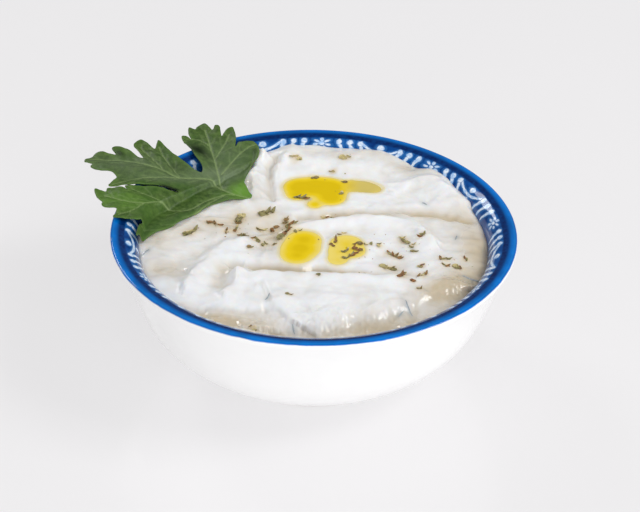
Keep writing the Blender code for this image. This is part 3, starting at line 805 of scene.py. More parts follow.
SMOOTHING, HOLLOW_DEPTH, SHORE_STAIN = 160, 0.9, 0.8
# Painted shade: the hollows found here are tinted beige along with the whey.
hollow = np.clip((smoothed(dip_z, SMOOTHING) - dip_z) / HOLLOW_DEPTH, 0.0, 1.0)
patches = 0.22 * lumps(dip_x, dip_y, 6.0, 41.0, 1.6) + 0.12 * lumps(dip_x, dip_y, 2.2, 42.0)
whey_and_shade = np.clip(spots_mask(WHEY_AND_SHADE) + 0.4 * hollow + patches, 0.0, 1.0)
halo = spots_mask([(x, y, size * 0.5, size * 0.4, turn, 0.8) for x, y, size, turn, _ in HERBS])
slate = spots_mask([(x, y, size * 0.5, 1.0, turn, 0.4) for x, y, size, turn, _ in CUCUMBER])
slate = np.clip(slate + spots_mask([(*spot, 0.25 * rise) for *spot, rise in SHREDS]), 0.0, 1.0)
shore = np.zeros(np.shape(dip_x))
for level, drops in POOLS.values():
    outside = np.maximum(pool_distance(drops, dip_x, dip_y), 0.0)
    shore = np.maximum(shore, np.exp(-((outside / SHORE_STAIN) ** 2)))
print("whey_and_shade", whey_and_shade.mean().round(2), "halo", halo.mean().round(3), "slate", slate.mean().round(3))

# %% [markdown]
# ## The look of thick yoghurt
# Light sinks a few millimetres into yoghurt before it comes back, which is why its
# shadows are soft and warm. Subsurface scattering does that. A wet skin lies over it, so
# the small crests sparkle, and the masks above choose between clean white, warm whey with
# painted shade, grey cucumber and yellow oil.

# %% Dip material
def make_cream():
    finish, tree, shader = new_finish(
        "thick_cream", Coat_Roughness=0.08, Subsurface_Weight=0.5,
        Subsurface_Scale=0.0016, Subsurface_Radius=(1.0, 0.75, 0.55), Specular_IOR_Level=0.4)
    feed(tree, shader.inputs["Coat Weight"], attribute(tree, "whey_and_shade") * 0.55 + 0.08)
    clean = blend(tree, use_group(tree, MOTTLE, 6.0), paint(231, 232, 235), paint(240, 241, 241))
    # Warm beige for whey and painted shade, in the hollows, by the walls and under the leaf.
    feed(tree, shader.inputs["Base Color"], stained(tree, clean, (
        ("whey_and_shade", 0.95, paint(204, 189, 162)), ("slate", 0.8, paint(140, 152, 160)),
        ("halo", 0.8, paint(222, 198, 146)), ("shore", 0.6, paint(230, 206, 110)))))
    feed(tree, shader.inputs["Roughness"], attribute(tree, "whey_and_shade") * -0.14 + 0.36)
    add_bump(tree, shader, use_group(tree, GRAIN, 0.8), 0.05)
    return finish


cream = make_cream()

# %% Close the dip into one solid
SKIRT_SHARES = (0.05, 0.1, 0.16, 0.4, 0.7, 1.0)


def make_dip():
    out = 1 + EDGE_BITE / wall_reach * np.hypot(unit_x, unit_y) ** 40
    places = [np.column_stack([(dip_x * out).ravel(), (dip_y * out).ravel(), dip_z.ravel()])]
    faces = [(r * GRID + c, r * GRID + c + 1, (r + 1) * GRID + c + 1, (r + 1) * GRID + c)
             for r in range(GRID - 1) for c in range(GRID - 1)]
    rim = perimeter(GRID)
    count = len(rim)
    floor = BOWL_HEIGHT - INNER_END[1] + 0.4
    turns = grid_turn.ravel()[rim]
    top = dip_z.ravel()[rim]
    start = GRID * GRID
    for k, share in enumerate(SKIRT_SHARES):
        height = top + (floor - top) * share
        radius = inner_radius(height) + EDGE_BITE
        places.append(np.column_stack([radius * np.cos(turns), radius * np.sin(turns), height]))
        above = rim if k == 0 else range(start + (k - 1) * count, start + k * count)
        above = list(above)
        faces += [(above[j], start + k * count + j, start + k * count + (j + 1) % count,
                   above[(j + 1) % count]) for j in range(count)]
    tip = start + len(SKIRT_SHARES) * count
    places.append([(0.0, 0.0, floor)])
    faces += cap_faces(tip, tip - count, count)
    extra = len(SKIRT_SHARES) * count + 1
    masks = {name: np.concatenate([values.ravel(), np.zeros(extra)])
             for name, values in (("whey_and_shade", whey_and_shade), ("halo", halo), ("slate", slate), ("shore", shore))}
    return add_mesh("spooned_dip", np.vstack(places), faces, cream, masks)


dip = make_dip()

# %% [markdown]
# ## Oil in the hollows
# A pool is a thin lens: level on top, drawn up a little at its shore, and following its
# basin below. Oil over white yoghurt is pale at the shore, where it is thin, and deep
# yellow in the middle. The mesh carries that depth as a mask, and a very low roughness
# gives the surface its mirror.

# %% Oil material
def make_oil():
    finish, tree, shader = new_finish("olive_oil", Roughness=0.06, Specular_IOR_Level=0.4)
    deep = attribute(tree, "deep") + (use_group(tree, MOTTLE, 3.0) - 0.5) * 0.25
    colour = blend(tree, deep.step(0.0, 0.5), paint(238, 216, 112), paint(236, 205, 20))
    colour = blend(tree, deep.step(0.45, 0.95), colour, paint(224, 192, 0))
    colour = blend(tree, attribute(tree, "thin"), colour, paint(212, 192, 104))
    feed(tree, shader.inputs["Base Color"], colour)
    return finish


oil = make_oil()

# %% Pool meshes
POOL_TURNS, POOL_RINGS = 120, 12
THIN_FROM, THIN_TO = 8.0, 14.0
POOL_TUCK, POOL_REACH, POOL_SAMPLES = 0.35, (0.3, 27.0), 900
POOL_FILM, MENISCUS, MENISCUS_WIDTH = 0.06, 0.14, 0.45
POOL_DEEPEST = {"oil_pool_large": 3.4, "oil_pool_middle": 5.0, "oil_pool_small": 13.0}


def make_pool(name, level, drops):
    first = np.array(drops[:3])
    centre = (first[:, 2:] ** 2 * first[:, :2]).sum(0) / (first[:, 2] ** 2).sum()
    turns = np.arange(POOL_TURNS) * math.tau / POOL_TURNS
    steps = np.linspace(*POOL_REACH, POOL_SAMPLES)
    away_x = centre[0] + steps * np.cos(turns)[:, None]
    away_y = centre[1] + steps * np.sin(turns)[:, None]
    reach = steps[np.argmax(pool_distance(drops, away_x, away_y) > POOL_TUCK, axis=1)]
    shares = np.linspace(0.0, 1.0, POOL_RINGS + 1)[1:]
    x = np.concatenate([centre[0] + reach * s * np.cos(turns) for s in shares])
    y = np.concatenate([centre[1] + reach * s * np.sin(turns) for s in shares])
    beyond = np.maximum(pool_distance(drops, x, y), 0.0)
    depth = np.maximum(-pool_distance(drops, x, y), 0.0)
    drawn_up = MENISCUS * np.exp(-depth / MENISCUS_WIDTH)
    top = level + POOL_FILM + drawn_up - 1.4 * beyond + 0.02 * lumps(x, y, 3.0, 7.0)
    under = level - 0.4 - 0.6 * beyond - np.clip(depth * BASIN_SLOPE, 0.0, 0.8)
    count = POOL_TURNS * POOL_RINGS
    places = np.vstack([np.column_stack([x, y, top]), np.column_stack([x, y, under]),
                        [(*centre, level + 0.1), (*centre, level - 1.2)]])
    faces = cap_faces(2 * count, 0, POOL_TURNS) + cap_faces(2 * count + 1, count, POOL_TURNS)
    for side in (0, count):
        for k in range(POOL_RINGS - 1):
            faces += ring_faces(side + k * POOL_TURNS, side + (k + 1) * POOL_TURNS, POOL_TURNS)
    faces += ring_faces(count - POOL_TURNS, 2 * count - POOL_TURNS, POOL_TURNS)
    deep = np.clip(depth / POOL_DEEPEST[name], 0.0, 1.0)
    thin = np.clip((x - THIN_FROM) / (THIN_TO - THIN_FROM), 0.0, 1.0) * (name == "oil_pool_large")
    masks = {"deep": np.concatenate([deep, deep, [1.0, 1.0]]),
             "thin": np.concatenate([thin, thin, [0.0, 0.0]])}
    return add_mesh(name.replace("oil_pool", "olive_oil"), places, faces, oil, masks)


pools = {name: make_pool(name, level, drops) for name, (level, drops) in POOLS.items()}

# %% [markdown]
# ## The parsley leaf
# A flat parsley leaf fans out from where its stalk was cut, on broad lobes with rounded
# teeth. Its edge is drawn once as the tips of the teeth and the notches between them,
# and a smooth closed curve is run through them. The blade is then filled with small even
# triangles, because rays or strips from one middle would crowd there and starve the tips.

# %% Leaf outline
# The cut stalk and the folded lower edge, then each lobe's teeth and notches, clockwise.
LEAF_EDGE = {
    "stalk and fold": [
        (-20.0, 24.5), (-19.0, 22.5), (-21.5, 21.0), (-25.0, 20.5), (-29.0, 19.0), (-33.5, 16.0),
        (-37.0, 12.0), (-39.5, 9.5), (-42.0, 6.5), (-44.5, 4.0), (-46.5, 2.0), (-49.5, -1.5),
        (-51.5, -6.0), (-51.5, -1.0), (-50.5, 3.0)],
    "near lobe": [
        (-52.5, 2.5), (-55.5, 2.5), (-59.0, 3.0), (-58.5, 5.0), (-58.5, 7.0), (-60.5, 7.5),
        (-63.0, 9.5), (-63.0, 11.0), (-64.5, 13.0), (-66.0, 17.5), (-64.0, 17.5), (-62.5, 17.0),
        (-62.0, 19.0), (-58.0, 19.0), (-56.0, 17.5), (-57.0, 20.0), (-54.0, 20.5), (-50.5, 21.0),
        (-46.5, 21.0), (-43.0, 20.5), (-41.0, 20.5)],
    "left lobe": [
        (-42.5, 21.5), (-46.0, 22.0), (-50.0, 22.0), (-54.0, 21.5), (-58.0, 21.0), (-62.0, 20.5),
        (-61.0, 23.0), (-60.0, 25.0), (-61.5, 27.5), (-64.0, 28.5), (-66.5, 29.5), (-68.5, 31.0),
        (-68.0, 32.5), (-70.5, 33.5), (-70.5, 36.0), (-69.0, 37.0), (-67.5, 39.0), (-65.5, 40.0),
        (-64.0, 39.5), (-61.5, 39.0), (-63.0, 42.0), (-62.0, 43.5), (-60.0, 43.0), (-58.0, 41.5),
        (-56.0, 39.5), (-54.5, 38.0), (-53.0, 37.5), (-54.0, 40.0), (-55.5, 42.5), (-56.5, 44.5),
        (-56.0, 46.5), (-54.5, 48.0), (-52.5, 46.5), (-50.0, 43.0), (-49.5, 45.5), (-49.0, 47.5),
        (-47.5, 46.0), (-45.5, 42.5), (-44.0, 40.0), (-42.0, 38.0), (-39.5, 35.5), (-37.0, 33.0),
        (-35.0, 32.0)],
    "far lobe": [
        (-34.5, 33.5), (-35.0, 36.0), (-37.0, 39.5), (-38.5, 43.0), (-40.0, 45.5), (-41.5, 48.5),
        (-42.0, 51.0), (-40.5, 51.0), (-39.0, 49.5), (-40.0, 52.5), (-40.0, 56.0), (-38.0, 55.0),
        (-37.5, 57.5), (-35.5, 59.0), (-34.0, 57.5), (-32.5, 55.5), (-32.0, 58.0), (-30.5, 57.5),
        (-30.0, 54.5), (-29.5, 52.0), (-28.5, 55.0), (-26.5, 56.5), (-25.5, 54.0), (-25.0, 50.5),
        (-25.0, 46.5), (-24.0, 49.0), (-22.0, 49.5), (-19.5, 50.0), (-18.0, 48.0), (-17.5, 43.5),
        (-18.0, 40.5), (-19.5, 38.0), (-21.0, 34.0), (-21.5, 31.5), (-21.5, 29.5)],
}
LEAF_CENTRE = (-28.5, 31.5)
LEAF_LOW, LEAF_OVER_RIM, LEAF_CLEARANCE = 41.6, 46.0, 0.7
LEAF_RISE_FROM, LEAF_RISE_TO = 34.0, 58.0
LEAF_FOLD_ANGLE, LEAF_FOLD_SLOPE, LEAF_FOLD_WITHIN, LEAF_FOLD_BLEND = 223.0, 1.8, 51.0, 4.0
EDGE_STEPS = 6


def closed_curve(points, steps):
    """A closed Catmull-Rom curve through the points."""
    ring = np.array([place for group in points.values() for place in group])
    a, b, c, d = (np.roll(ring, shift, axis=0)[:, None] for shift in (1, 0, -1, -2))
    t = np.linspace(0.0, 1.0, steps, endpoint=False)[None, :, None]
    return span(a, b, c, d, t).reshape(-1, 2)


def edge_distance(outline, x, y):
    """Distance to the nearest place on the outline, and whether the place is inside it."""
    inside, nearest = np.zeros(np.shape(x), bool), np.full(np.shape(x), FAR)
    for start, end in zip(outline, np.roll(outline, -1, axis=0)):
        run = end - start
        crosses = (start[1] > y) != (end[1] > y)
        inside ^= crosses & (x < start[0] + (y - start[1]) / (run[1] or 1.0) * run[0])
        nearest = np.minimum(nearest, np.hypot(*segment_gap(start, run, x, y)))
    return nearest, inside


def leaf_height(x, y):
    """The blade rises to the rim and runs on level; its lower edge is folded down."""
    out = np.hypot(x, y)
    rise = np.clip((out - LEAF_RISE_FROM) / (LEAF_RISE_TO - LEAF_RISE_FROM), 0.0, 1.0)
    height = LEAF_LOW + (LEAF_OVER_RIM - LEAF_LOW) * rise
    fold = math.radians(LEAF_FOLD_ANGLE)
    below = (y - LEAF_CENTRE[1]) * math.cos(fold) - (x - LEAF_CENTRE[0]) * math.sin(fold)
    inside = np.clip((LEAF_FOLD_WITHIN - out) / LEAF_FOLD_BLEND, 0.0, 1.0)
    height = height - LEAF_FOLD_SLOPE * np.maximum(below, 0.0) * inside
    return np.maximum(height, dip_height(x, y) + LEAF_CLEARANCE)


# %% Veins and blade shape
# Veins from the stalk outwards: path, half-width in mm.
VEINS = [
    ([(-18.9, 21.4), (-24.3, 23.4), (-28.0, 26.0), (-32.0, 29.5), (-41.2, 28.4), (-46.0, 30.7),
      (-54.9, 34.5), (-62.0, 35.8), (-69.0, 35.8)], 0.5),
    ([(-46.0, 30.7), (-50.4, 37.3), (-54.5, 44.0)], 0.32),
    ([(-41.4, 28.7), (-46.5, 37.5), (-48.6, 44.3)], 0.32),
    ([(-41.2, 28.2), (-48.8, 26.7), (-57.0, 23.6), (-61.0, 21.4)], 0.35),
    ([(-28.0, 26.0), (-29.4, 31.2), (-31.1, 39.1), (-32.8, 45.7), (-35.0, 55.6)], 0.48),
    ([(-31.0, 39.9), (-28.2, 48.4), (-27.2, 53.3)], 0.35),
    ([(-28.7, 32.7), (-27.6, 35.2), (-24.7, 41.4), (-21.4, 46.8), (-18.6, 48.8)], 0.38),
    ([(-32.8, 45.7), (-36.6, 48.9), (-40.6, 49.5)], 0.3),
    ([(-24.3, 23.2), (-27.1, 23.1), (-32.3, 20.4), (-38.4, 15.2), (-45.7, 15.1), (-50.8, 12.5),
      (-56.8, 12.2), (-62.8, 14.7)], 0.45),
    ([(-27.1, 23.1), (-31.8, 18.6), (-37.1, 11.4), (-40.6, 7.2), (-44.7, 3.4), (-48.9, -1.3)], 0.35),
    ([(-45.7, 15.1), (-52.1, 17.9), (-55.6, 18.6)], 0.3),
    ([(-50.8, 12.3), (-54.2, 7.4), (-57.6, 4.4)], 0.3),
]
SIDE_VEIN_PITCH, SIDE_VEIN_LENGTH, SIDE_VEIN_WIDTH = 3.0, 6.5, 0.2
SIDE_VEIN_ANGLE, SIDE_VEIN_BEND = 34.0, 9.0
LEAF_SPACING, LEAF_MARGIN, LEAF_THICKNESS = 0.36, 0.2, 0.36


def side_veins():
    """Thin veins that leave the main ones on alternate sides."""
    found = []
    for path, width in VEINS:
        route = smooth_path(path, 12)
        gone = np.concatenate([[0.0], np.cumsum(np.hypot(*np.diff(route, axis=0).T))])
        for k, at in enumerate(np.arange(SIDE_VEIN_PITCH, gone[-1], SIDE_VEIN_PITCH)):
            start, later = (np.array([np.interp(spot, gone, route[:, axis]) for axis in (0, 1)])
                            for spot in (at, at + 0.5))
            side = 1 if k % 2 else -1
            heading = math.atan2(*(later - start)[::-1]) + math.radians(SIDE_VEIN_ANGLE) * side
            bend = heading - math.radians(SIDE_VEIN_BEND) * side
            half = 0.5 * SIDE_VEIN_LENGTH * (0.7 + 0.3 * math.sin(7.0 * k + at))
            middle = start + half * np.array([math.cos(heading), math.sin(heading)])
            end = middle + half * np.array([math.cos(bend), math.sin(bend)])
            found.append(([tuple(start), tuple(middle), tuple(end)], SIDE_VEIN_WIDTH))
    return found


def vein_field(x, y):
    """(how much of a vein is here, how near the nearest main vein is in mm)."""
    mark, nearest = np.zeros(np.shape(x)), np.full(np.shape(x), FAR)
    main = [(path, 0.5 * width, 1.0, 0.0) for path, width in VEINS]
    side = [(path, width, 0.3, 1.2) for path, width in side_veins()]
    for path, width, strength, further in main + side:
        distance, _ = path_distance(path, x, y)
        mark = np.maximum(mark, strength * np.exp(-((distance / width) ** 2)))
        nearest = np.minimum(nearest, distance + further)
    return mark, nearest


def blade_triangles(outline):
    """Even triangles over the blade: (places, corners)."""
    low, high = outline.min(axis=0), outline.max(axis=0)
    x, y = np.meshgrid(*(np.arange(low[k], high[k], LEAF_SPACING) for k in (0, 1)))
    x[1::2] += LEAF_SPACING / 2
    gap, inside = edge_distance(outline, x, y)
    keep = inside & (gap > LEAF_MARGIN)
    places = [Vector(spot) for spot in [*outline, *zip(x[keep], y[keep])]]
    found = geometry.delaunay_2d_cdt(places, [], [list(range(len(outline)))], 1, MM)
    return np.array([tuple(spot) for spot in found[0]]), [list(face) for face in found[2]]


leaf_outline = closed_curve(LEAF_EDGE, EDGE_STEPS)
leaf_places, leaf_corners = blade_triangles(leaf_outline)
leaf_x, leaf_y = leaf_places.T
leaf_edge, _ = edge_distance(leaf_outline, leaf_x, leaf_y)
leaf_vein, leaf_gap = vein_field(leaf_x, leaf_y)

PUFF, PUFF_WIDTH = 0.60, 2.4
WAVE, WAVE_WIDTH, BLADE_REACH = 1.1, 4.0, 36.0
WRINKLE, VEIN_GROOVE = 0.14, 0.32
puff = PUFF * (1 - np.exp(-((leaf_gap / PUFF_WIDTH) ** 2)))
outward = np.hypot(leaf_x - LEAF_CENTRE[0], leaf_y - LEAF_CENTRE[1]) / BLADE_REACH
wave = np.clip(outward, 0.0, 1.0) * np.exp(-leaf_edge / WAVE_WIDTH) * lumps(leaf_x, leaf_y, 6.0, 12.0)
wrinkle = WRINKLE * lumps(leaf_x, leaf_y, 1.6, 13.0)
leaf_z = leaf_height(leaf_x, leaf_y) - VEIN_GROOVE * leaf_vein + puff + WAVE * wave + wrinkle
print("leaf", len(leaf_corners), "triangles a side, top at", leaf_z.max().round(1), "mm")

# %% [markdown]
# ## The look of the leaf
# Parsley is a deep dull green, paler along the veins and almost lime where the cut stalk
# begins. A greyish sheen is painted where the lobes catch the light, and the margin is
# painted a shade lighter for the light that comes through it. Masks on the blade place the
# veins, the lime base, the painted sheen, the painted shade on the edge that folds down and
# the few places that lie in deep shade.

# %% Leaf material and mesh
# Marks on the blade: x, y, half-length, half-width, turn in degrees, strength.
LEAF_MARKS = {
    "lime": [(-22.4, 26.2, 5.0, 3.0, 50.0, 1.0), (-43.6, -2.4, 3.2, 0.9, 41.0, 1.0),
             (-20.4, 23.1, 3.0, 2.0, 20.0, 0.6), (-59.0, 12.0, 10.0, 6.0, 0.0, 0.45),
             (-60.5, 40.0, 3.6, 2.4, -50.0, 0.4)],
    # The greyish sheen, painted where the lobes catch the light.
    "painted_sheen": [(-30.5, 32.4, 9.0, 3.0, 12.0, 0.9), (-43.0, 26.7, 14.0, 2.5, 5.0, 0.5),
              (-58.0, 33.0, 14.0, 6.0, -5.0, 0.6), (-33.7, 10.7, 12.0, 3.0, 50.0, 0.5),
              (-27.0, 41.6, 9.0, 8.0, 40.0, 0.55)],
    "shade": [(-36.4, 42.9, 4.2, 1.9, -34.0, 1.0), (-60.4, 39.4, 3.0, 1.4, -45.0, 0.8),
              (-43.6, 21.8, 2.8, 0.55, -10.0, 1.8), (-43.0, 32.8, 3.0, 2.0, -30.0, 0.3)],
    # Painted shade: the strip where the lower edge folds down, away from the light.
    "folded": [(-36.0, 11.0, 17.0, 4.0, 38.0, 1.0), (-50.5, -1.0, 4.0, 5.0, 0.0, 0.8)],
}
LIGHT_MARGIN = 0.8


def leaf_mask(spots):
    return np.clip(sum(s * soft_spot(leaf_x, leaf_y, spot) for *spot, s in spots), 0.0, 1.0)


def make_green():
    finish, tree, shader = new_finish("leaf_green", Specular_IOR_Level=0.35)
    tone, broad = use_group(tree, MOTTLE, 1.8), use_group(tree, MOTTLE, 9.0)
    colour = blend(tree, tone.step(0.3, 0.7), paint(52, 78, 26), paint(82, 108, 46))
    colour = blend(tree, broad.step(0.45, 0.7) * 0.6, colour, paint(54, 90, 26))
    feed(tree, shader.inputs["Base Color"], stained(tree, colour, (
        ("folded", 0.5, paint(58, 90, 40)), ("margin", 0.45, paint(92, 126, 48)),
        ("painted_sheen", 0.7, paint(108, 124, 94)), ("lime", 0.85, paint(104, 152, 48)),
        ("vein", 0.65, paint(150, 172, 112)), ("shade", 1.0, paint(16, 34, 6)))))
    feed(tree, shader.inputs["Roughness"], tone * 0.2 + 0.38)
    add_bump(tree, shader, use_group(tree, GRAIN, 0.5), 0.06)
    return finish


def make_leaf():
    count = len(leaf_x)
    upper = np.column_stack([leaf_x, leaf_y, leaf_z + LEAF_THICKNESS / 2])
    lower = np.column_stack([leaf_x, leaf_y, leaf_z - LEAF_THICKNESS / 2])
    faces, open_edges = [], {}
    for a, b, c in leaf_corners:
        faces += [(a, b, c), (count + c, count + b, count + a)]
        for start, end in ((a, b), (b, c), (c, a)):
            if open_edges.pop((end, start), None) is None:
                open_edges[start, end] = True
    faces += [(end, start, count + start, count + end) for start, end in open_edges]
    marks = {name: leaf_mask(spots) for name, spots in LEAF_MARKS.items()}
    marks["vein"] = leaf_vein
    # Painted light: the margin is painted lighter for the light that comes through it.
    marks["margin"] = np.exp(-((leaf_edge / LIGHT_MARGIN) ** 2))
    masks = {name: np.concatenate([values, values]) for name, values in marks.items()}
    return add_mesh("flat_parsley_leaf", np.vstack([upper, lower]), faces, make_green(), masks)


leaf = make_leaf()

# %% [markdown]
# ## Dried herb
# The flakes are crumbs of dried leaf and stalk, each a few millimetres long. Three scraps
# are modelled, and Geometry Nodes puts one at every point, sized, turned and tinted by
# values that the point carries. Nodes suit this because each crumb only differs by those
# few numbers, and one tree handles them all. Each place holds a small cluster of crumbs.

# %% Three scraps
SCRAP_SIDES = 9


def scrap_mesh(name, width, curl, seed):
    """A curled chip one unit long: two uneven outlines and the side between them."""
    draw = np.random.default_rng(seed)
    turns = np.arange(SCRAP_SIDES) * math.tau / SCRAP_SIDES
    reach = 0.5 * draw.uniform(0.65, 1.0, SCRAP_SIDES)
    x, y = reach * np.cos(turns), reach * np.sin(turns) * width
    z = curl * (x * x - 0.05) + 0.5 * curl * y * y
    places = np.vstack([np.column_stack([x, y, z + 0.05]),
                        np.column_stack([x * 0.85, y * 0.85, z - 0.04]),
                        [(0.0, 0.0, 0.03), (0.0, 0.0, -0.08)]])
    faces = cap_faces(2 * SCRAP_SIDES, 0, SCRAP_SIDES)
    faces += [face[::-1] for face in cap_faces(2 * SCRAP_SIDES + 1, SCRAP_SIDES, SCRAP_SIDES)]
    faces += [face[::-1] for face in ring_faces(0, SCRAP_SIDES, SCRAP_SIDES)]
    mesh = bpy.data.meshes.new(name)
    mesh.from_pydata(places.tolist(), [], faces)
    mesh.shade_smooth()
    return bpy.data.objects.new(name, mesh)


scraps = bpy.data.collections.new("scraps")
for name, width, curl, seed in (("scrap_a_chip", 0.64, 0.5, 3), ("scrap_b_curl", 0.38, 1.0, 5),
                                ("scrap_c_stalk", 0.12, 0.2, 8)):
    scraps.objects.link(scrap_mesh(name, width, curl, seed))

# %% Points for the crumbs
DUST_COUNT, DUST_WITHIN, LONG_FLAKE = 60, 48, 4.2


def ground_height(x, y):
    """Height of the finished surface, oil included."""
    height = spooned_height(x, y) + fine_relief(x, y)
    for level, drops in POOLS.values():
        inside = pool_distance(drops, x, y) < 0
        height = np.where(inside, level + 0.1, height)
    return height


def crumb_points():
    """Rows of x, y, size, turn, tilt, pick, tone."""
    draw = np.random.default_rng(23)
    rows = []
    for x, y, size, turn, tone in HERBS:
        along = np.array([math.cos(math.radians(turn)), math.sin(math.radians(turn))])
        pieces = max(2, round(size * 0.8))
        for k in range(pieces):
            share = 0.8 * ((k + 0.5) / pieces - 0.5)
            px, py = np.array([x, y]) + along * share * size + draw.normal(0, 0.25, 2)
            rows.append((px, py, draw.uniform(0.55, 0.85) * size**0.75 + 0.7,
                         math.radians(turn) + draw.normal(0, 0.7), draw.normal(0, 0.35),
                         0 if tone < 0.3 else int(draw.integers(0, 2)),
                         np.clip(tone * draw.choice([0.35, 1.0, 1.0]) + draw.normal(0, 0.1), 0, 1)))
        if size > LONG_FLAKE:
            rows.append((x, y, size * 0.8, math.radians(turn), 0.05, 2, np.clip(tone - 0.3, 0, 1)))
    for _ in range(DUST_COUNT):
        anchor = HERBS[int(draw.integers(len(HERBS)))]
        px, py = anchor[0] + draw.normal(0, 3.4), anchor[1] + draw.normal(0, 3.0)
        if math.hypot(px, py) < DUST_WITHIN:
            rows.append((px, py, draw.uniform(0.35, 0.8), draw.uniform(0, 6.28), draw.normal(0, 0.3),
                         int(draw.integers(0, 3)), draw.uniform(0.3, 1.0)))
    return np.array(rows)


crumbs = crumb_points()
crumb_z = ground_height(crumbs[:, 0], crumbs[:, 1]) + 0.06 * crumbs[:, 2]
points_mesh = bpy.data.meshes.new("crumb_points")
points_mesh.from_pydata(to_row(np.column_stack([crumbs[:, 0], crumbs[:, 1], crumb_z])).tolist(), [], [])
for column, name in ((2, "size"), (3, "turn"), (4, "tilt"), (6, "tone")):
    layer = points_mesh.attributes.new(name, "FLOAT", "POINT")
    layer.data.foreach_set("value", crumbs[:, column].astype(np.float32))
layer = points_mesh.attributes.new("pick", "INT", "POINT")
layer.data.foreach_set("value", crumbs[:, 5].astype(np.int32))
print("crumbs", len(crumbs))

# %% [markdown]
# ## The tree that lays the crumbs
# The tree reads the point's own values: size becomes the scale, turn and tilt become the
# rotation, and pick chooses the scrap. It ends by making the copies real and giving them
# their finish, because a copy that isn't real can't leave Blender.

# %% Geometry Nodes for the crumbs
def named(tree, name, kind="FLOAT"):
    node = tree.nodes.new("GeometryNodeInputNamedAttribute")
    node.data_type = kind
    node.inputs["Name"].default_value = name
    return next(socket for socket in node.outputs if socket.enabled and socket.name == "Attribute")


def crumb_tree():
    tree = bpy.data.node_groups.new("lay_crumbs", "GeometryNodeTree")
    for name, kind in (("Points", "NodeSocketGeometry"), ("Scraps", "NodeSocketCollection"),
                       ("Millimetre", "NodeSocketFloat"), ("Finish", "NodeSocketMaterial")):
        tree.interface.new_socket(name, in_out="INPUT", socket_type=kind)
    tree.interface.new_socket("Crumbs", in_out="OUTPUT", socket_type="NodeSocketGeometry")
    add, link = tree.nodes.new, tree.links.new
    taken, given = add("NodeGroupInput"), add("NodeGroupOutput")
    kinds = add("GeometryNodeCollectionInfo")
    kinds.inputs["Separate Children"].default_value = True
    kinds.inputs["Reset Children"].default_value = True
    link(taken.outputs["Scraps"], kinds.inputs["Collection"])
    scale = add("ShaderNodeMath")
    scale.operation = "MULTIPLY"
    link(named(tree, "size"), scale.inputs[0])
    link(taken.outputs["Millimetre"], scale.inputs[1])
    turn = add("ShaderNodeCombineXYZ")
    link(named(tree, "tilt"), turn.inputs["X"])
    link(named(tree, "turn"), turn.inputs["Z"])
    lay = add("GeometryNodeInstanceOnPoints")
    lay.inputs["Pick Instance"].default_value = True
    link(taken.outputs["Points"], lay.inputs["Points"])
    link(kinds.outputs[0], lay.inputs["Instance"])
    link(named(tree, "pick", "INT"), lay.inputs["Instance Index"])
    link(turn.outputs[0], lay.inputs["Rotation"])
    link(scale.outputs[0], lay.inputs["Scale"])
    real, coat = add("GeometryNodeRealizeInstances"), add("GeometryNodeSetMaterial")
    link(lay.outputs[0], real.inputs[0])
    link(real.outputs[0], coat.inputs["Geometry"])
    link(taken.outputs["Finish"], coat.inputs["Material"])
    link(coat.outputs[0], given.inputs[0])
    return tree


def run_tree(name, mesh, tree, values):
    """Lays the tree over the mesh, with its inputs set by name, and returns the plain result."""
    holder = bpy.data.objects.new(name + "_source", mesh)
    bpy.context.scene.collection.objects.link(holder)
    nodes = holder.modifiers.new("nodes", "NODES")
    nodes.node_group = tree
    for socket in tree.interface.items_tree:
        if socket.in_out == "INPUT" and socket.name in values:
            nodes[socket.identifier] = values[socket.name]
    graph = bpy.context.evaluated_depsgraph_get()
    made_mesh = bpy.data.meshes.new_from_object(holder.evaluated_get(graph))
    bpy.data.objects.remove(holder)
    made = bpy.data.objects.new(name, made_mesh)
    bpy.context.scene.collection.objects.link(made)
    print(name, len(made_mesh.polygons), "faces")
    return made


def make_herb_finish():
    finish, tree, shader = new_finish("dried_herb", Roughness=0.62)
    tone = attribute(tree, "tone")
    fine = use_group(tree, MOTTLE, 0.7)
    colour = blend(tree, tone.step(0.0, 0.4), paint(226, 208, 150), paint(146, 138, 90))
    colour = blend(tree, tone.step(0.5, 0.85), colour, paint(150, 104, 56))
    colour = blend(tree, tone.step(0.96, 1.0) * 0.6, colour, paint(150, 78, 50))
    colour = blend(tree, fine.step(0.5, 0.66) * 0.8, colour, paint(72, 58, 32))
    feed(tree, shader.inputs["Base Color"], colour)
    add_bump(tree, shader, use_group(tree, GRAIN, 0.3), 0.05)
    return finish


herb_finish = make_herb_finish()
herbs = run_tree("dried_herb_flakes", points_mesh, crumb_tree(),
                 {"Scraps": scraps, "Millimetre": MM, "Finish": herb_finish})
for scrap in list(scraps.objects):
    bpy.data.objects.remove(scrap)
bpy.data.collections.remove(scraps)

# %% [markdown]
# ## Cucumber at the surface
# Most of the cucumber is relief under the skin, but some shreds break it. Each is a thin
# bent bar, round above and mostly sunk, grey at the peel. They are swept along a short
# arc rather than scattered by nodes, because each one is placed.

# %% Cucumber shreds
SHRED_STEPS, SHRED_SIDES = 9, 8
SHRED_HALF_WIDTH, SHRED_END_DIP = 0.30, 0.25


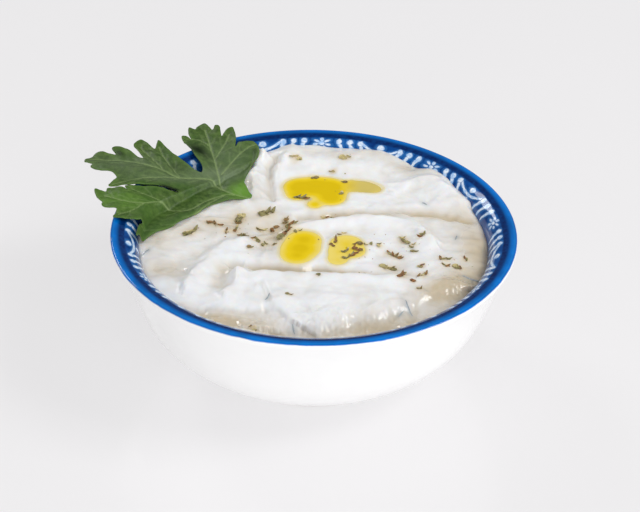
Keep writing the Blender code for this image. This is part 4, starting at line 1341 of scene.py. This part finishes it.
def shred_places(x, y, length, turn, bend, first):
    places, faces, peel = [], [], []
    heading = math.radians(turn - bend / 2)
    spot = np.array([x, y]) - 0.5 * length * np.array([math.cos(heading), math.sin(heading)])
    for k in range(SHRED_STEPS):
        share = k / (SHRED_STEPS - 1)
        angle = math.radians(turn + bend * (share - 0.5))
        forward = np.array([math.cos(angle), math.sin(angle)])
        across = np.array([-forward[1], forward[0]])
        thick = SHRED_HALF_WIDTH * (0.35 + 0.65 * math.sin(math.pi * (0.08 + 0.84 * share)))
        level = float(ground_height(*spot)) - SHRED_END_DIP * abs(2 * share - 1) ** 3
        for j in range(SHRED_SIDES):
            round_ = math.tau * j / SHRED_SIDES
            px, py = spot + across * thick * math.cos(round_)
            places.append((px, py, level + 0.5 * thick * (math.sin(round_) - 0.5)))
            peel.append(0.5 + 0.5 * math.cos(round_))
        spot = spot + forward * length / (SHRED_STEPS - 1)
    for k in range(SHRED_STEPS - 1):
        faces += ring_faces(first + k * SHRED_SIDES, first + (k + 1) * SHRED_SIDES, SHRED_SIDES)
    for end in (first, first + (SHRED_STEPS - 1) * SHRED_SIDES):
        faces.append(tuple(range(end, end + SHRED_SIDES)))
    return places, faces, peel


def make_cucumber():
    finish, tree, shader = new_finish(
        "cucumber_flesh", Roughness=0.25, Subsurface_Weight=0.3, Subsurface_Scale=0.001,
        Subsurface_Radius=(0.7, 1.0, 0.7))
    peel = attribute(tree, "peel")
    colour = blend(tree, peel.step(0.5, 0.95), paint(170, 178, 184), paint(112, 122, 134))
    colour = blend(tree, use_group(tree, MOTTLE, 1.2).step(0.45, 0.75), colour, paint(186, 194, 186))
    feed(tree, shader.inputs["Base Color"], colour)
    places, faces, peel = [], [], []
    for row in CUCUMBER:
        more = shred_places(*row, len(places))
        places, faces, peel = places + more[0], faces + more[1], peel + more[2]
    return add_mesh("cucumber_shreds", places, faces, finish, {"peel": peel})


cucumber = make_cucumber()

# %% [markdown]
# ## Hand the pieces to the frame
# Every piece rides on the one body and stands for the imported solid that it covers,
# which is hidden.

# %% Ride and replace
for piece, nodes, slot in (
        (bowl, ["bowl"], "glaze"), (dip, ["tzatziki"], "dip"), (leaf, ["parsley_leaf"], "leaf"),
        (herbs, [], "herb"), (cucumber, [], "cucumber"),
        *((pool, [name], "oil") for name, pool in pools.items())):
    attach(piece, "root")
    if nodes:
        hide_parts(*nodes)

# %% [markdown]
# ## Table, light and camera
# A pale polished table takes a faint reflection of the bowl. The light is a bright even
# studio: a soft dome all round, a very broad lamp low in front, a smaller one high on the
# right that makes the glints, and a weak one behind on the left that lights the rim.

# %% Table and world
TABLE_HALF = 2500.0


def make_table():
    finish, tree, shader = new_finish("pale_table", Roughness=0.22, Specular_IOR_Level=0.25,
                                      Emission_Strength=0.54, Emission_Color=(1.0, 0.99, 1.0, 1.0))
    colour = blend(tree, use_group(tree, MOTTLE, 160.0), paint(150, 149, 150), paint(154, 153, 154))
    feed(tree, shader.inputs["Base Color"], colour)
    places = [(a * TABLE_HALF, b * TABLE_HALF, 0.0) for a, b in ((-1, -1), (1, -1), (1, 1), (-1, 1))]
    mesh = bpy.data.meshes.new("table")
    mesh.from_pydata(to_row(places).tolist(), [], [(0, 1, 2, 3)])
    mesh.materials.append(finish)
    made = bpy.data.objects.new("table", mesh)
    bpy.context.scene.collection.objects.link(made)
    return made


make_table()
DOME_LIGHT, DOME_GLOSS = 0.52, 0.12


def make_dome():
    """An even white dome. It lights things fully, but glossy skins see it much darker."""
    world = bpy.data.worlds.new("studio")
    bpy.context.scene.world = world
    world.use_nodes = True
    tree = world.node_tree
    path = tree.nodes.new("ShaderNodeLightPath")
    gloss = Field(tree, path.outputs["Is Glossy Ray"])
    background = tree.nodes["Background"]
    background.inputs["Color"].default_value = (1.0, 1.0, 1.0, 1.0)
    feed(tree, background.inputs["Strength"], gloss * (DOME_GLOSS - DOME_LIGHT) + DOME_LIGHT)
    bpy.context.scene.view_settings.view_transform = "Standard"


make_dome()
LAMP_AIM_HEIGHT = 0.03


def add_lamp(name, where, watts, wide):
    lamp = bpy.data.lights.new(name, "AREA")
    lamp.energy, lamp.size = watts, wide
    made = bpy.data.objects.new(name, lamp)
    made.location = where
    aim = Vector((AXIS[0], 0.0, LAMP_AIM_HEIGHT)) - Vector(where)
    made.rotation_euler = aim.to_track_quat("-Z", "Y").to_euler()
    bpy.context.scene.collection.objects.link(made)


add_lamp("low_front", (0.25, -1.30, 0.50), 10.0, 1.2)
add_lamp("high_right", (0.90, -0.30, 0.95), 7.0, 0.5)
add_lamp("back_left", (-0.70, 0.90, 0.80), 3.5, 0.4)

# %% Camera
ELEVATION, ROLL, DISTANCE, LENS, SENSOR_WIDTH = 32.67, 0.96, 0.62, 118.1, 36.0
AIM = Vector((AXIS[0] + 1.9 * MM, 0.0, 35.4 * MM))


def make_camera():
    raised, rolled = math.radians(ELEVATION), math.radians(ROLL)
    ahead = Vector((0.0, math.cos(raised), -math.sin(raised)))
    right, up = Vector((1.0, 0.0, 0.0)), Vector((0.0, math.sin(raised), math.cos(raised)))
    right, up = (right * math.cos(rolled) + up * math.sin(rolled),
                 up * math.cos(rolled) - right * math.sin(rolled))
    camera = bpy.data.objects.new("camera", bpy.data.cameras.new("camera"))
    camera.data.lens, camera.data.sensor_width = LENS, SENSOR_WIDTH
    turn = Matrix((right, up, -ahead)).transposed().to_4x4()
    camera.matrix_world = Matrix.Translation(AIM - ahead * DISTANCE) @ turn
    bpy.context.scene.collection.objects.link(camera)
    bpy.context.scene.camera = camera


make_camera()
